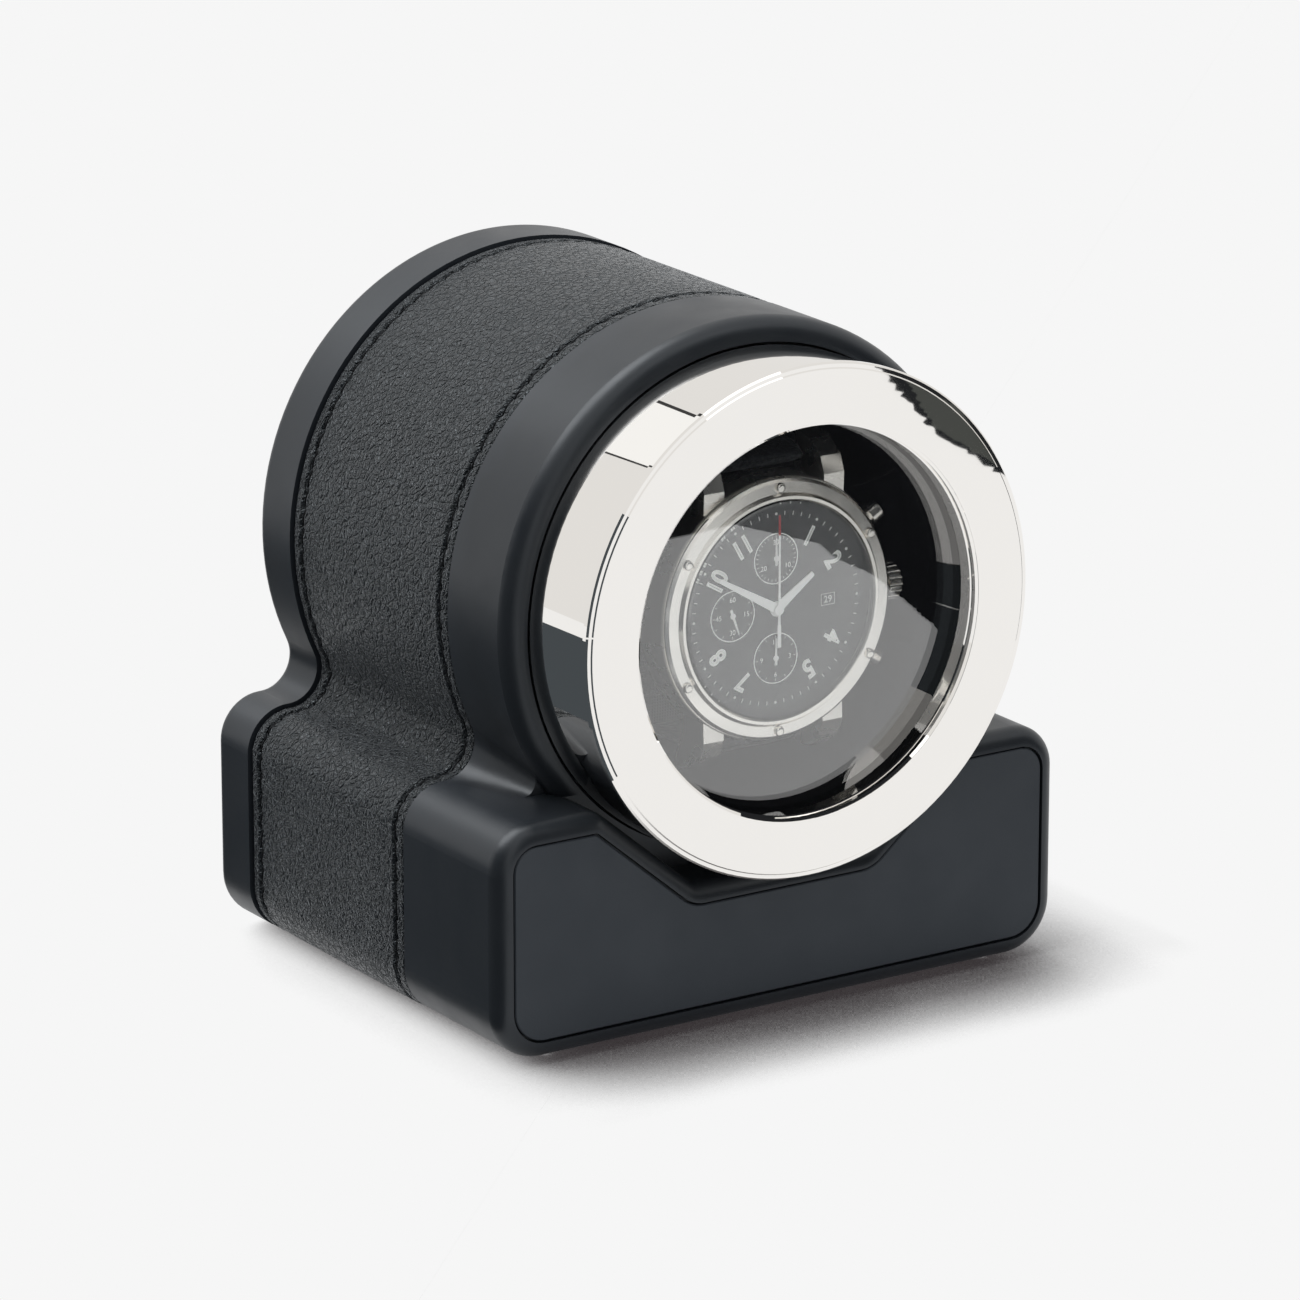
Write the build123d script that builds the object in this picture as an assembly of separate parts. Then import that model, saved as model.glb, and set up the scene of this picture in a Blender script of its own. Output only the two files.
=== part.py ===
"""Watch winder: a leather-banded drum on a wide foot, with a chrome barrel, a glazed lid and a turning cup.

Millimetres. X runs to the right of the front view, Y runs from the front to the rear, Z is up.
The origin is on the resting surface, under the middle of the whole object.
"""
import os
from math import acos, cos, pi, radians, sin, sqrt, tan

from build123d import *

# ---- driving dimensions -------------------------------------------------------------------------
front_y = -48.5             # front plane of the chrome ring, the foremost surface
rear_y = 48.5               # rear wall
face_y = front_y + 7.4      # front face of the foot
lip_y = face_y + 11.0       # front rim of the drum, where the barrel comes out
band_front_y = face_y + 29.0
band_rear_y = face_y + 78.6
axis_z = 68.8               # height of the drum's axis

drum_radius = 46.0          # outside of the leather
foot_half_width = 54.8
shelf_z = 40.2              # top of the foot's shoulders
foot_bottom = 1.0           # underside of the housing, above the resting surface
shoulder_radius = 7.0
bottom_radius = 9.0
neck_radius = 6.4           # hollow curve between the drum and the shoulders
lip_neck = 1.5              # the same curve at the drum's front rim, where it has almost run out
spigot_neck = 6.6           # the same curve on the core frame's rims, inside the shells
core_neck = 8.0             # and inside the core frame

front_proud = 0.45          # how far the front shell stands outside the leather
rear_proud = 0.75
leather_thick = 1.2
shell_inner = -1.6          # inside face of both shells, from the leather's outside
core_inner = -3.4           # inside face of the core frame
seam_gap = 0.4              # dark groove between the rear shell and the leather

barrel_radius = 42.25
barrel_bore = 41.0
barrel_front_y = front_y + 1.8
barrel_rear_y = 12.0

ring_radius = 43.05
ring_opening = 33.2
ring_thick = 1.6
spigot_radius = 40.85
spigot_bore = 39.2
spigot_rear_y = -38.5
seal_y = -41.6              # sealing ring in the spigot's groove
lens_radius = 36.2
lens_front_y = face_y - 3.4
lens_thick = 1.5
lens_dome = 200.0           # radius of the lens's gently domed middle
lens_dome_edge = 31.7       # where the dome meets the flat rim

cup_radius = 38.6
cup_bore = 37.0
cup_front_y = -38.0
cup_rear_y = 8.0

shaft_radius = 2.0
running_clearance = 0.05
gear_module = 0.5
rotor_teeth = 48
pinion_teeth = 16
gear_front_y = 21.0
gear_width = 4.0
motor_plate_y = 16.0
motor_plate_thick = 2.4

cell_radius = 7.25
cell_length = 50.5
cell_pitch = 15.5
cell_front_y = -29.0
cell_z = 11.6

plate_half_width = 44.0     # bottom cover
plate_front_y = -36.0
plate_rear_y = 44.0
plate_thick = 2.0
door_half_width = 30.6
door_front_y = -30.0
door_rear_y = 25.0
door_thick = 1.6
hinge_y = door_rear_y - 1.0
hinge_z = foot_bottom + door_thick / 2

board_y = 36.0              # control board, upright in front of the rear wall
board_half_width = 43.0
control_z = 12.0
jack_x = 32.0
switch_x = 14.0
button_x = -6.0
light_x = -22.0

case_radius = 22.1          # wristwatch
crystal_radius = 18.2
bezel_y = face_y + 1.7
crystal_y = bezel_y - 0.3
dial_y = bezel_y + 2.0
case_rear_y = bezel_y + 11.3
crown_y = bezel_y + 5.2
pusher_angle = 30           # each pusher's place above or below the crown, degrees
dial_radius = 18.55
strap_half_width = 9.3
strap_thick = 2.4
subdial_radius = 8.4        # distance of each small dial from the centre of the watch

cushion_half_width = 26.5
cushion_half_height = 24.0
cushion_front_y = case_rear_y + 0.6
cushion_rear_y = -1.0
cushion_middle_y = (cushion_front_y + cushion_rear_y) / 2
pad_radius = cup_bore - 0.25


# ---- helpers ------------------------------------------------------------------------------------
def prism(section, y_front, y_rear):
    """A section drawn in X and Z, given its length along Y."""
    return Pos(0, y_rear, 0) * extrude(Plane.XZ * section, amount=y_rear - y_front)


def rod(radius, y_front, y_rear, x=0.0, z=axis_z):
    """A round bar along Y."""
    return prism(Pos(x, z) * Circle(radius), y_front, y_rear)


def tube(outer, inner, y_front, y_rear, x=0.0, z=axis_z):
    """A round tube along Y."""
    return prism(Pos(x, z) * (Circle(outer) - Circle(inner)), y_front, y_rear)


def rod_up(radius, x, y, z0, z1):
    """A round bar along Z."""
    return Pos(x, y, z0) * extrude(Circle(radius), amount=z1 - z0)


def turned(*profile):
    """A body turned about the drum's axis from (radius, y) points."""
    return Pos(0, 0, axis_z) * revolve(make_face(Polyline(*profile, close=True)), Axis.Y)


def block(x0, x1, y0, y1, z0, z1):
    """A box between two corners."""
    return Pos((x0 + x1) / 2, (y0 + y1) / 2, (z0 + z1) / 2) * Box(x1 - x0, y1 - y0, z1 - z0)


def around(radius, degrees):
    """X and Z of a point on a circle about the drum's axis, counted from +X towards +Z."""
    return radius * cos(radians(degrees)), axis_z + radius * sin(radians(degrees))


def round_at(section, test, radius):
    """Round the corners of a flat section whose (x, z) pass the test."""
    return fillet(section.vertices().filter_by(lambda v: test(v.X, v.Y)), radius)


def coil(radius, wire, turns, length):
    """A helical spring along +Z from the origin."""
    path = Helix(pitch=length / turns, height=length, radius=radius)
    start = Plane(origin=path @ 0, z_dir=path % 0)
    return sweep(start * Circle(wire), path=path, is_frenet=True)


# ---- housing outline ----------------------------------------------------------------------------
def foot_outline(grow):
    """The foot alone: a low block with rounded shoulders and rounder bottom corners."""
    low = foot_bottom + max(-grow, 0)
    high = shelf_z + grow
    half = foot_half_width + grow
    foot = Pos(0, (low + high) / 2) * Rectangle(2 * half, high - low)
    foot = round_at(foot, lambda x, z: z > high - 0.1, shoulder_radius + grow)
    return round_at(foot, lambda x, z: z < low + 0.1, bottom_radius + min(grow, 0))


def outline(grow, neck=None):
    """The drum standing on its foot, with a hollow neck curve on each side."""
    neck = neck_radius - grow if neck is None else neck
    high = shelf_z + grow
    drum = Pos(0, axis_z) * Circle(drum_radius + grow)
    whole = foot_outline(grow) + drum
    meets = sqrt((drum_radius + grow) ** 2 - (axis_z - high) ** 2)
    return round_at(whole, lambda x, z: abs(abs(x) - meets) < 0.1 and abs(z - high) < 0.1, neck)


def notch_outline(grow):
    """The trapezium in the front of the foot that the barrel lies in."""
    floor_half = 16.6
    floor_z = 25.0
    apex_half = 35.2
    slope = (shelf_z + front_proud - floor_z) / (apex_half - floor_half)
    rise = 30.0
    top_half = floor_half + rise / slope
    points = [(-floor_half, floor_z), (floor_half, floor_z)]
    points += [(top_half, floor_z + rise), (-top_half, floor_z + rise)]
    trapezium = make_face(Polyline(*points, close=True))
    trapezium = round_at(trapezium, lambda x, z: z < floor_z + 1, 3.0)
    if grow:
        trapezium = offset(trapezium, amount=grow)
    return trapezium


def face_outline():
    """The front face of the foot, with its notch."""
    whole = foot_outline(front_proud) - notch_outline(0)
    top = shelf_z + front_proud
    return round_at(whole, lambda x, z: abs(z - top) < 0.1 and abs(x) < 40, 4.0)


# ---- housing ------------------------------------------------------------------------------------
def bottom_opening(grow, top=5.0):
    """The rectangle that the bottom cover closes."""
    half = plate_half_width + grow
    return block(-half, half, plate_front_y - grow, plate_rear_y + grow, -1, top)


def front_shell():
    rim = 3.4
    rim_inner = drum_radius + front_proud - rim
    foot_front = prism(face_outline(), face_y, lip_y + 1)
    edges = foot_front.faces().sort_by(Axis.Y)[0].edges()
    foot_front = fillet(edges, 3.0)
    behind = loft([
        Pos(0, band_front_y, 0) * (Plane.XZ * outline(front_proud)),
        Pos(0, lip_y, 0) * (Plane.XZ * outline(front_proud, lip_neck)),
    ], ruled=True)
    rounding = make_face(
        Polyline((0, lip_y), (rim_inner, lip_y))
        + CenterArc((rim_inner, lip_y + rim), rim, -90, 90)
        + Polyline((rim_inner + rim, lip_y + rim), (90, lip_y + rim), (90, 60), (0, 60), (0, lip_y))
    )
    envelope = Pos(0, 0, axis_z) * revolve(rounding, Axis.Y)
    envelope += block(-70, 70, -60, 60, -10, shelf_z + front_proud)
    body = (behind & envelope) + foot_front
    hollow = loft([
        Pos(0, band_front_y, 0) * (Plane.XZ * outline(shell_inner)),
        Pos(0, lip_y + 2.4, 0) * (Plane.XZ * outline(shell_inner, lip_neck + 2.2)),
    ], ruled=True)
    hollow += prism(foot_outline(shell_inner) - notch_outline(2.2), face_y + 4.2, lip_y + 3)
    body -= hollow
    body -= rod(barrel_radius + 0.25, lip_y - 1, band_front_y)
    body -= rod(barrel_radius + 1.2, lip_y + 0.9, band_front_y)
    body -= prism(panel_outline(0.35), face_y - 1, face_y + 1.7)
    return body - bottom_opening(0.3)


def panel_outline(grow):
    """The inlay in the front face, a little smaller than the face all round."""
    return offset(face_outline(), amount=grow - 3.3)


def front_panel():
    panel = prism(panel_outline(0), face_y + 0.1, face_y + 1.7)
    front = panel.faces().sort_by(Axis.Y)[0].edges()
    return chamfer(front, 0.2)


def rear_shell():
    seam_y = band_rear_y + seam_gap
    body = prism(outline(rear_proud), seam_y, rear_y)
    rear_edges = body.faces().sort_by(Axis.Y)[-1].edges()
    body = fillet(rear_edges, 2.0)
    body -= prism(outline(shell_inner), seam_y - 1, rear_y - 2.4)
    body -= bottom_opening(0.3)
    for x, z in rear_screw_places():
        body -= rod(1.7, rear_y - 5, rear_y + 1, x, z)
        body -= rod(3.1, rear_y - 1.5, rear_y + 1, x, z)
    body -= rod(3.3, rear_y - 5, rear_y + 1, jack_x, control_z)
    body -= block(switch_x - 4.5, switch_x + 4.5, 40, rear_y + 1, control_z - 2.0, control_z + 2.0)
    body -= rod(2.6, rear_y - 5, rear_y + 1, button_x, control_z)
    body -= rod(1.6, rear_y - 5, rear_y + 1, light_x, control_z)
    for x in board_screw_places():
        post = rod(2.6, board_y + 1.6, rear_y - 2.0, x, control_z)
        body += post - rod(0.9, board_y, rear_y - 4, x, control_z)
    return body


def leather_band():
    band = prism(outline(0) - outline(-leather_thick), band_front_y + 0.15, band_rear_y)
    return band - block(-plate_half_width - 1, plate_half_width + 1, -60, 60, -1, 8)


def rear_screw_places():
    """Where the rear shell is screwed to the core frame."""
    high_x, high_z = around(39.3, 45)
    return [(-48.4, 14.0), (48.4, 14.0), (-high_x, high_z), (high_x, high_z)]


def plate_screw_angles():
    return [90, 200, 340]


def core_frame():
    """The moulding under the leather, which everything inside is fixed to."""
    body = prism(outline(-leather_thick), band_front_y, band_rear_y)
    body += prism(outline(shell_inner - 0.1, spigot_neck), band_front_y - 4, band_rear_y + seam_gap + 4)
    body -= prism(outline(core_inner, core_neck), band_front_y - 5, rear_y)
    for y in (-9.0, 7.0):
        rib = prism(outline(core_inner + 0.5), y, y + 2)
        body += rib - rod(barrel_radius + 0.05, y - 1, y + 3)
    body -= block(-34.6, 34.6, -20, 30, -1, 22.0)
    for x, z in rear_screw_places():
        body += rod(3.4, 20, rear_y - 2.5, x, z)
        body -= rod(1.2, 30, rear_y, x, z)
    for angle in plate_screw_angles():
        x, z = around(40.0, angle)
        body += rod(3.0, barrel_rear_y + 0.4, motor_plate_y, x, z)
        body -= rod(1.0, barrel_rear_y, motor_plate_y + 1, x, z)
    for x, y in base_screw_places():
        body += rod_up(3.2, x, y, foot_bottom + plate_thick, 16)
        body -= rod_up(1.1, x, y, 0, 14)
    return body - bottom_opening(0.3, foot_bottom + plate_thick)


# ---- bottom -------------------------------------------------------------------------------------
def base_plate():
    top = foot_bottom + plate_thick
    body = block(-plate_half_width, plate_half_width, plate_front_y, plate_rear_y, foot_bottom, top)
    body = fillet(body.edges().filter_by(Axis.Z), 4.0)
    body -= block(
        -door_half_width - 0.4, door_half_width + 0.4, door_front_y - 0.4, door_rear_y + 0.4, 0, 9)
    for side in (-1, 1):
        x = side * (door_half_width + 0.4)
        inner, outer = sorted((x, x + side * 1.8))
        body -= block(inner, outer, hinge_y - 0.7, hinge_y + 0.7, 0, hinge_z + 0.7)
    for x, y in foot_places():
        body -= rod_up(5.2, x, y, 0, foot_bottom + 0.8)
    for x, y in base_screw_places():
        body -= rod_up(1.6, x, y, 0, 9)
        body -= rod_up(2.9, x, y, 0, foot_bottom + 1.0)
    return body


def foot_places():
    return [(x, y) for x in (-37.5, 37.5) for y in (-30.0, 37.0)]


def base_screw_places():
    return [(x, y) for x in (-39.5, 39.5) for y in (-3.0, 18.0)]


def rubber_feet():
    return Compound([rod_up(5.0, x, y, 0, foot_bottom + 0.75) for x, y in foot_places()])


def screw(head_radius, head_height, shank_radius, shank_length):
    """A pan-head screw along -Z with its head's underside at the origin."""
    head = extrude(Circle(head_radius), amount=head_height)
    head = fillet(head.faces().sort_by(Axis.Z)[-1].edges(), head_height * 0.35)
    shank = Pos(0, 0, -shank_length) * extrude(Circle(shank_radius), amount=shank_length + 0.05)
    slots = Box(head_radius * 1.2, 0.5, head_height) + Box(0.5, head_radius * 1.2, head_height)
    return head + shank - Pos(0, 0, head_height) * slots


def housing_screws():
    """Four screws through the bottom cover and four through the rear shell, all the same."""
    one = screw(2.7, 0.95, 1.05, 9.0)
    below = [Pos(x, y, foot_bottom + 1.0) * Rot(180, 0, 0) * one for x, y in base_screw_places()]
    behind = [Pos(x, rear_y - 1.5, z) * Rot(-90, 0, 0) * one for x, z in rear_screw_places()]
    return Compound(below + behind)


def small_screws():
    """The same small screw holds the motor plate, the gearbox and the control board."""
    one = screw(1.9, 1.1, 0.85, 5.0)
    plate_rear = motor_plate_y + motor_plate_thick
    places = [(*around(39.9, angle), plate_rear) for angle in plate_screw_angles()]
    places += [(x, z, gearbox_y() + 1.2) for x, z in motor_post_places()]
    facing_rear = [Pos(x, y, z) * Rot(-90, 0, 0) * one for x, z, y in places]
    facing_front = [Pos(x, board_y, control_z) * Rot(90, 0, 0) * one for x in board_screw_places()]
    return Compound(facing_rear + facing_front)


def battery_door():
    top = foot_bottom + door_thick
    plate = block(-door_half_width, door_half_width, door_front_y, hinge_y, foot_bottom, top)
    knuckle = Pos(-door_half_width, hinge_y, hinge_z) * Rot(0, 90, 0) * extrude(
        Circle(door_thick / 2), amount=2 * door_half_width)
    body = plate + knuckle
    for side in (-1, 1):
        x = side * (door_half_width - 0.5)
        pin = Pos(x, hinge_y, hinge_z) * Rot(0, 90 * side, 0) * extrude(Circle(0.6), amount=2.1)
        body += pin
    for rib in range(5):
        y = door_front_y + 4 + 1.6 * rib
        body -= block(-7, 7, y, y + 0.7, foot_bottom - 1, foot_bottom + 0.3)
    return body + block(-4, 4, door_front_y, door_front_y + 1, hinge_z, top + 1.0)


def battery_tray():
    floor = foot_bottom + plate_thick
    body = block(-33.0, 33.0, -32.4, 25.6, floor, 20.6)
    body -= block(-31.4, 31.4, -31.2, 24.4, floor - 1, 19.4)
    for place in (-1, 0, 1):
        x = place * cell_pitch
        body += block(x - 0.3, x + 0.3, -24, 16, floor + 9, 19.6)
    return body


def batteries():
    """Four AA cells side by side."""
    cells = []
    for x in battery_places():
        can = rod(cell_radius, cell_front_y, cell_front_y + cell_length - 1.2, x, cell_z)
        button = rod(2.6, cell_front_y + cell_length - 1.3, cell_front_y + cell_length, x, cell_z)
        cells.append(can + button)
    return Compound(cells)


def battery_places():
    return [(place - 1.5) * cell_pitch for place in range(4)]


def battery_contacts():
    """A flat plate behind each cell's button, and a plate with a coil in front of each can."""
    pieces = []
    spring = coil(3.2, 0.35, 3, 0.96)
    for x in battery_places():
        pieces.append(block(x - 4.5, x + 4.5, 21.8, 22.2, cell_z - 4, cell_z + 5))
        pieces.append(block(x - 4.5, x + 4.5, -31.1, -30.7, cell_z - 4, cell_z + 5))
        pieces.append(Pos(x, -30.34, cell_z) * Rot(-90, 0, 0) * spring)
    return Compound(pieces)


# ---- barrel and lid -----------------------------------------------------------------------------
def chrome_barrel():
    body = tube(barrel_radius, barrel_bore, barrel_front_y, barrel_rear_y)
    front = body.edges().filter_by(GeomType.CIRCLE).group_by(Axis.Y)[0]
    return chamfer(front.sort_by(SortBy.RADIUS)[-1], 0.3)


def barrel_gasket():
    """A rubber ring in the rebate behind the front shell's lip."""
    body = tube(barrel_radius + 1.1, barrel_radius + 0.02, lip_y + 1.0, lip_y + 2.7)
    front = body.edges().filter_by(GeomType.CIRCLE).group_by(Axis.Y)[0]
    return fillet(front, 0.35)


def bezel_ring():
    """The lid's chrome ring: a flat flange, a deep opening and a spigot that plugs into the barrel."""
    back_y = front_y + ring_thick
    groove = spigot_radius - 0.9
    seat = lens_radius + 0.05
    seat_rear_y = lens_front_y + lens_thick
    wall = ring_opening - 0.7
    return turned(
        (ring_opening, front_y), (ring_radius - 1.1, front_y), (ring_radius - 0.9, front_y + 0.2),
        (ring_radius - 0.3, front_y + 0.2), (ring_radius, front_y + 0.5), (ring_radius, back_y - 0.2),
        (ring_radius - 0.2, back_y), (spigot_radius, back_y), (spigot_radius, seal_y - 0.6),
        (groove, seal_y - 0.6), (groove, seal_y + 0.6), (spigot_radius, seal_y + 0.6),
        (spigot_radius, spigot_rear_y), (spigot_bore, spigot_rear_y), (spigot_bore, seat_rear_y),
        (seat, seat_rear_y), (seat, lens_front_y), (wall, lens_front_y), (wall, front_y + 1.5),
        (wall + 0.25, front_y + 1.4), (wall + 0.25, front_y + 0.4), (ring_opening, front_y + 0.1),
    )


def lens():
    """Clear and gently domed, with a flat rim that the retainer presses home."""
    rim_front = lens_front_y + 0.02
    rim_rear = lens_front_y + lens_thick
    edge = lens_dome_edge
    dome_rise = sagitta(lens_dome, edge)
    half_rise = dome_rise - sagitta(lens_dome, edge / 2)
    front = ThreePointArc((0, rim_front - dome_rise), (edge / 2, rim_front - half_rise), (edge, rim_front))
    rear = ThreePointArc((edge, rim_rear), (edge / 2, rim_rear - half_rise), (0, rim_rear - dome_rise))
    rim = Polyline((edge, rim_front), (lens_radius, rim_front), (lens_radius, rim_rear), (edge, rim_rear))
    middle = Line((0, rim_rear - dome_rise), (0, rim_front - dome_rise))
    outline = Wire([*front.edges(), *rim.edges(), *rear.edges(), *middle.edges()])
    return Pos(0, 0, axis_z) * revolve(make_face(outline), Axis.Y)


def sagitta(radius, reach):
    """How far a circle's edge falls away at this distance from its top."""
    return radius - sqrt(radius ** 2 - reach ** 2)


def lens_gasket():
    return tube(lens_radius, 34.2, lens_front_y + lens_thick, lens_front_y + lens_thick + 0.5)


def lens_retainer():
    y = lens_front_y + lens_thick + 0.5
    body = tube(spigot_bore - 0.05, 34.0, y, y + 1.2)
    for angle in (0, 90, 180, 270):
        x, z = around(36.6, angle)
        body -= rod(0.7, y + 0.3, y + 2, x, z)
    return body


def lid_seal():
    return Pos(0, seal_y, axis_z) * Rot(90, 0, 0) * Torus(spigot_radius - 0.4, 0.48)


# ---- turning cup and its drive ------------------------------------------------------------------
def rotor_cup():
    hub = 8
    hub_rear_y = cup_rear_y + 3.5
    body = turned(
        (0, cup_rear_y - 2), (cup_bore - 3, cup_rear_y - 2), (cup_bore, cup_rear_y - 5),
        (cup_bore, cup_front_y + 0.6), (cup_bore + 0.5, cup_front_y), (cup_radius - 0.4, cup_front_y),
        (cup_radius, cup_front_y + 0.4), (cup_radius, cup_rear_y - 4.5), (cup_radius - 4.5, cup_rear_y),
        (hub, cup_rear_y), (hub, hub_rear_y), (0, hub_rear_y),
    )
    body -= rod(shaft_radius + 0.01, cup_rear_y, cup_rear_y + 5)
    return body - rod(1.6, cup_rear_y - 5, cup_rear_y + 5)


def hub_screw():
    head = rod(3.0, cup_rear_y - 3.7, cup_rear_y - 2)
    return head + rod(1.4, cup_rear_y - 2.1, cup_rear_y + 5) - rod(1.4, cup_rear_y - 4, cup_rear_y - 2.8)


def rotor_shaft():
    end_y = gear_front_y + gear_width + 3
    body = rod(shaft_radius, cup_rear_y + 0.5, end_y)
    body -= rod(1.42, cup_rear_y, cup_rear_y + 5.5)
    return body - tube(shaft_radius + 1, 1.55, end_y - 2.0, end_y - 1.2)


def shaft_clip():
    end_y = gear_front_y + gear_width + 3
    ring = tube(3.6, 1.6, end_y - 1.9, end_y - 1.3)
    return ring - block(-0.8, 0.8, end_y - 3, end_y, axis_z - 5, axis_z)


def gear_outline(teeth, backlash):
    """Involute spur teeth with a stubby tip, one tooth gap centred on +X."""
    pitch = gear_module * teeth / 2
    base = pitch * cos(radians(20))
    tip = pitch + 0.9 * gear_module
    root = pitch - 1.15 * gear_module
    half_tooth = pi / (2 * teeth) - backlash / (2 * pitch)
    flat = tan(radians(20)) - radians(20)

    def flank(radius):
        """Half angle of the tooth at a radius."""
        if radius <= base:
            return half_tooth + flat
        lean = acos(base / radius)
        return half_tooth + flat - (tan(lean) - lean)

    start = max(base, root)
    steps = [start + (tip - start) * step / 4 for step in range(5)]
    radii = [root] + steps if root < base else steps
    points = []
    for tooth in range(teeth):
        middle = 2 * pi * (tooth + 0.5) / teeth
        points += [(r * cos(middle - flank(r)), r * sin(middle - flank(r))) for r in radii]
        points += [(r * cos(middle + flank(r)), r * sin(middle + flank(r))) for r in reversed(radii)]
    return make_face(Polyline(*points, close=True))


def pinion_z():
    return axis_z - gear_module * (rotor_teeth + pinion_teeth) / 2


def rotor_gear():
    teeth = Rot(0, 0, -90) * gear_outline(rotor_teeth, 0.12)
    face = Pos(0, axis_z) * (teeth - Circle(shaft_radius + 0.01))
    body = prism(face, gear_front_y, gear_front_y + gear_width)
    for angle in range(0, 360, 60):
        x, z = around(7.2, angle)
        body -= rod(2.2, gear_front_y - 1, gear_front_y + gear_width + 1, x, z)
    return body


def motor_pinion():
    half_tooth_turn = 180 / pinion_teeth
    teeth = Rot(0, 0, 90 + half_tooth_turn) * gear_outline(pinion_teeth, 0.12)
    face = Pos(0, pinion_z()) * teeth
    body = prism(face, gear_front_y - 0.5, gear_front_y + gear_width + 0.5)
    return body + rod(1.0, gear_front_y, gearbox_y() + 3.8, 0, pinion_z())


def motor_plate():
    y = motor_plate_y
    body = rod(42.3, y, y + motor_plate_thick)
    body += rod(7.0, y - 3.2, y + motor_plate_thick + 1.8)
    body -= rod(4.0, y - 5, y + 6)
    for angle in plate_screw_angles():
        x, z = around(39.9, angle)
        body -= rod(0.95, y - 1, y + 9, x, z)
    for angle in (0, 45, 135, 180):
        x, z = around(25.0, angle)
        body -= rod(5.0, y - 1, y + 9, x, z)
    for x, z in motor_post_places():
        body += rod(2.4, y + 1, gear_front_y + gear_width + 2.0, x, z)
        body -= rod(0.9, y + 4, gear_front_y + gear_width + 3, x, z)
    body -= rod(5.0, y - 1, y + 9, 0, pinion_z())
    return body - block(-50, 50, y - 1, y + 9, 20, 30)


def motor_post_places():
    return [(side * 12.5, pinion_z() - 2) for side in (-1, 1)]


def shaft_bearings():
    """Two plain bushes that the shaft turns in."""
    bore = shaft_radius + running_clearance
    return Compound([tube(3.95, bore, y, y + 3.0) for y in (motor_plate_y - 3.1, motor_plate_y + 1.1)])


def gearbox_y():
    return gear_front_y + gear_width + 2.0


def gearbox():
    y = gearbox_y()
    body = rod(10.0, y, y + 8, 0, pinion_z())
    body += block(-15.5, 15.5, y, y + 1.2, pinion_z() - 5, pinion_z() + 1)
    for x, z in motor_post_places():
        body -= rod(1.1, y - 1, y + 3, x, z)
    body += rod(2.5, y - 0.8, y + 0.1, 0, pinion_z())
    return body - rod(1.05, y - 2, y + 4, 0, pinion_z())


def motor():
    y = gear_front_y + gear_width + 10.0
    body = rod(10.0, y, y + 9.5, 0, pinion_z())
    body = body & block(-7.8, 7.8, 0, 60, 0, 90)
    z = pinion_z()
    terminals = [block(x - 1, x + 1, y + 9.4, y + 10.9, z - 0.3, z + 0.3) for x in (-4, 4)]
    return body + rod(2.5, y + 9.4, y + 10.4, 0, pinion_z()) + terminals[0] + terminals[1]


# ---- controls -----------------------------------------------------------------------------------
def board_screw_places():
    return (-board_half_width + 4, board_half_width - 4)


def circuit_board():
    body = block(-board_half_width, board_half_width, board_y, board_y + 1.6, 5.0, 20.0)
    for x in board_screw_places():
        body -= rod(1.2, board_y - 1, board_y + 3, x, control_z)
    return body


def board_parts():
    """Chip, timing crystal, capacitor and driver in front of the board, push switch behind it."""
    front = board_y
    back = board_y + 1.6
    pieces = [block(-5, 5, front - 1.4, front, 7.5, 14.5)]
    pieces.append(block(button_x - 3, button_x + 3, back, back + 3.4, control_z - 3, control_z + 3))
    pieces.append(block(9, 12.5, front - 1.2, front, 8, 16))
    pieces.append(rod(3.0, front - 7.0, front, 24, 12))
    pieces.append(block(-19, -14, front - 1.3, front, 8, 12))
    pieces += [block(x, x + 1.6, front - 0.6, front, 16, 17) for x in (-24, -12, 2, 16, 30)]
    return Compound(pieces)


def power_jack():
    back = board_y + 1.6
    body = block(jack_x - 4.2, jack_x + 4.2, back, rear_y - 2.5, control_z - 5, control_z + 5.5)
    body += rod(3.15, rear_y - 2.6, rear_y - 0.2, jack_x, control_z)
    body -= rod(2.75, rear_y - 9.5, rear_y + 1, jack_x, control_z)
    return body + rod(1.0, rear_y - 9.6, rear_y - 1.5, jack_x, control_z)


def switch_body():
    back = board_y + 1.6
    body = block(switch_x - 6.5, switch_x + 6.5, back, rear_y - 2.6, control_z - 3, control_z + 3)
    slot = block(switch_x - 4.4, switch_x + 4.4, back + 4.4, rear_y, control_z - 1.5, control_z + 1.5)
    return body - slot


def mode_switch():
    """The slider, at the middle of its three places."""
    start_y = board_y + 6.4
    low = control_z - 1.35
    high = control_z + 1.35
    foot = block(switch_x - 2.2, switch_x + 2.2, start_y, rear_y - 2.8, low, high)
    knob = block(switch_x - 1.5, switch_x + 1.5, start_y, rear_y - 0.3, low, high)
    for place in (-0.75, 0.0, 0.75):
        x = switch_x + place
        knob -= block(x - 0.12, x + 0.12, rear_y - 0.6, rear_y, control_z - 2, control_z + 2)
    return foot + knob


def programme_button():
    front = board_y + 1.6 + 3.4 + 1.0
    body = rod(2.45, rear_y - 4.5, rear_y - 0.1, button_x, control_z)
    body += rod(3.4, rear_y - 4.5, rear_y - 3.5, button_x, control_z)
    body += rod(1.2, front, rear_y - 4.4, button_x, control_z)
    rear = body.faces().sort_by(Axis.Y)[-1].edges()
    return fillet(rear, 0.4)


def status_light():
    body = rod(1.5, board_y + 1.6, rear_y - 0.9, light_x, control_z)
    body += rod(2.1, board_y + 1.6, board_y + 3.0, light_x, control_z)
    tip = body.faces().sort_by(Axis.Y)[-1].edges()
    return fillet(tip, 0.9)


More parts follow.
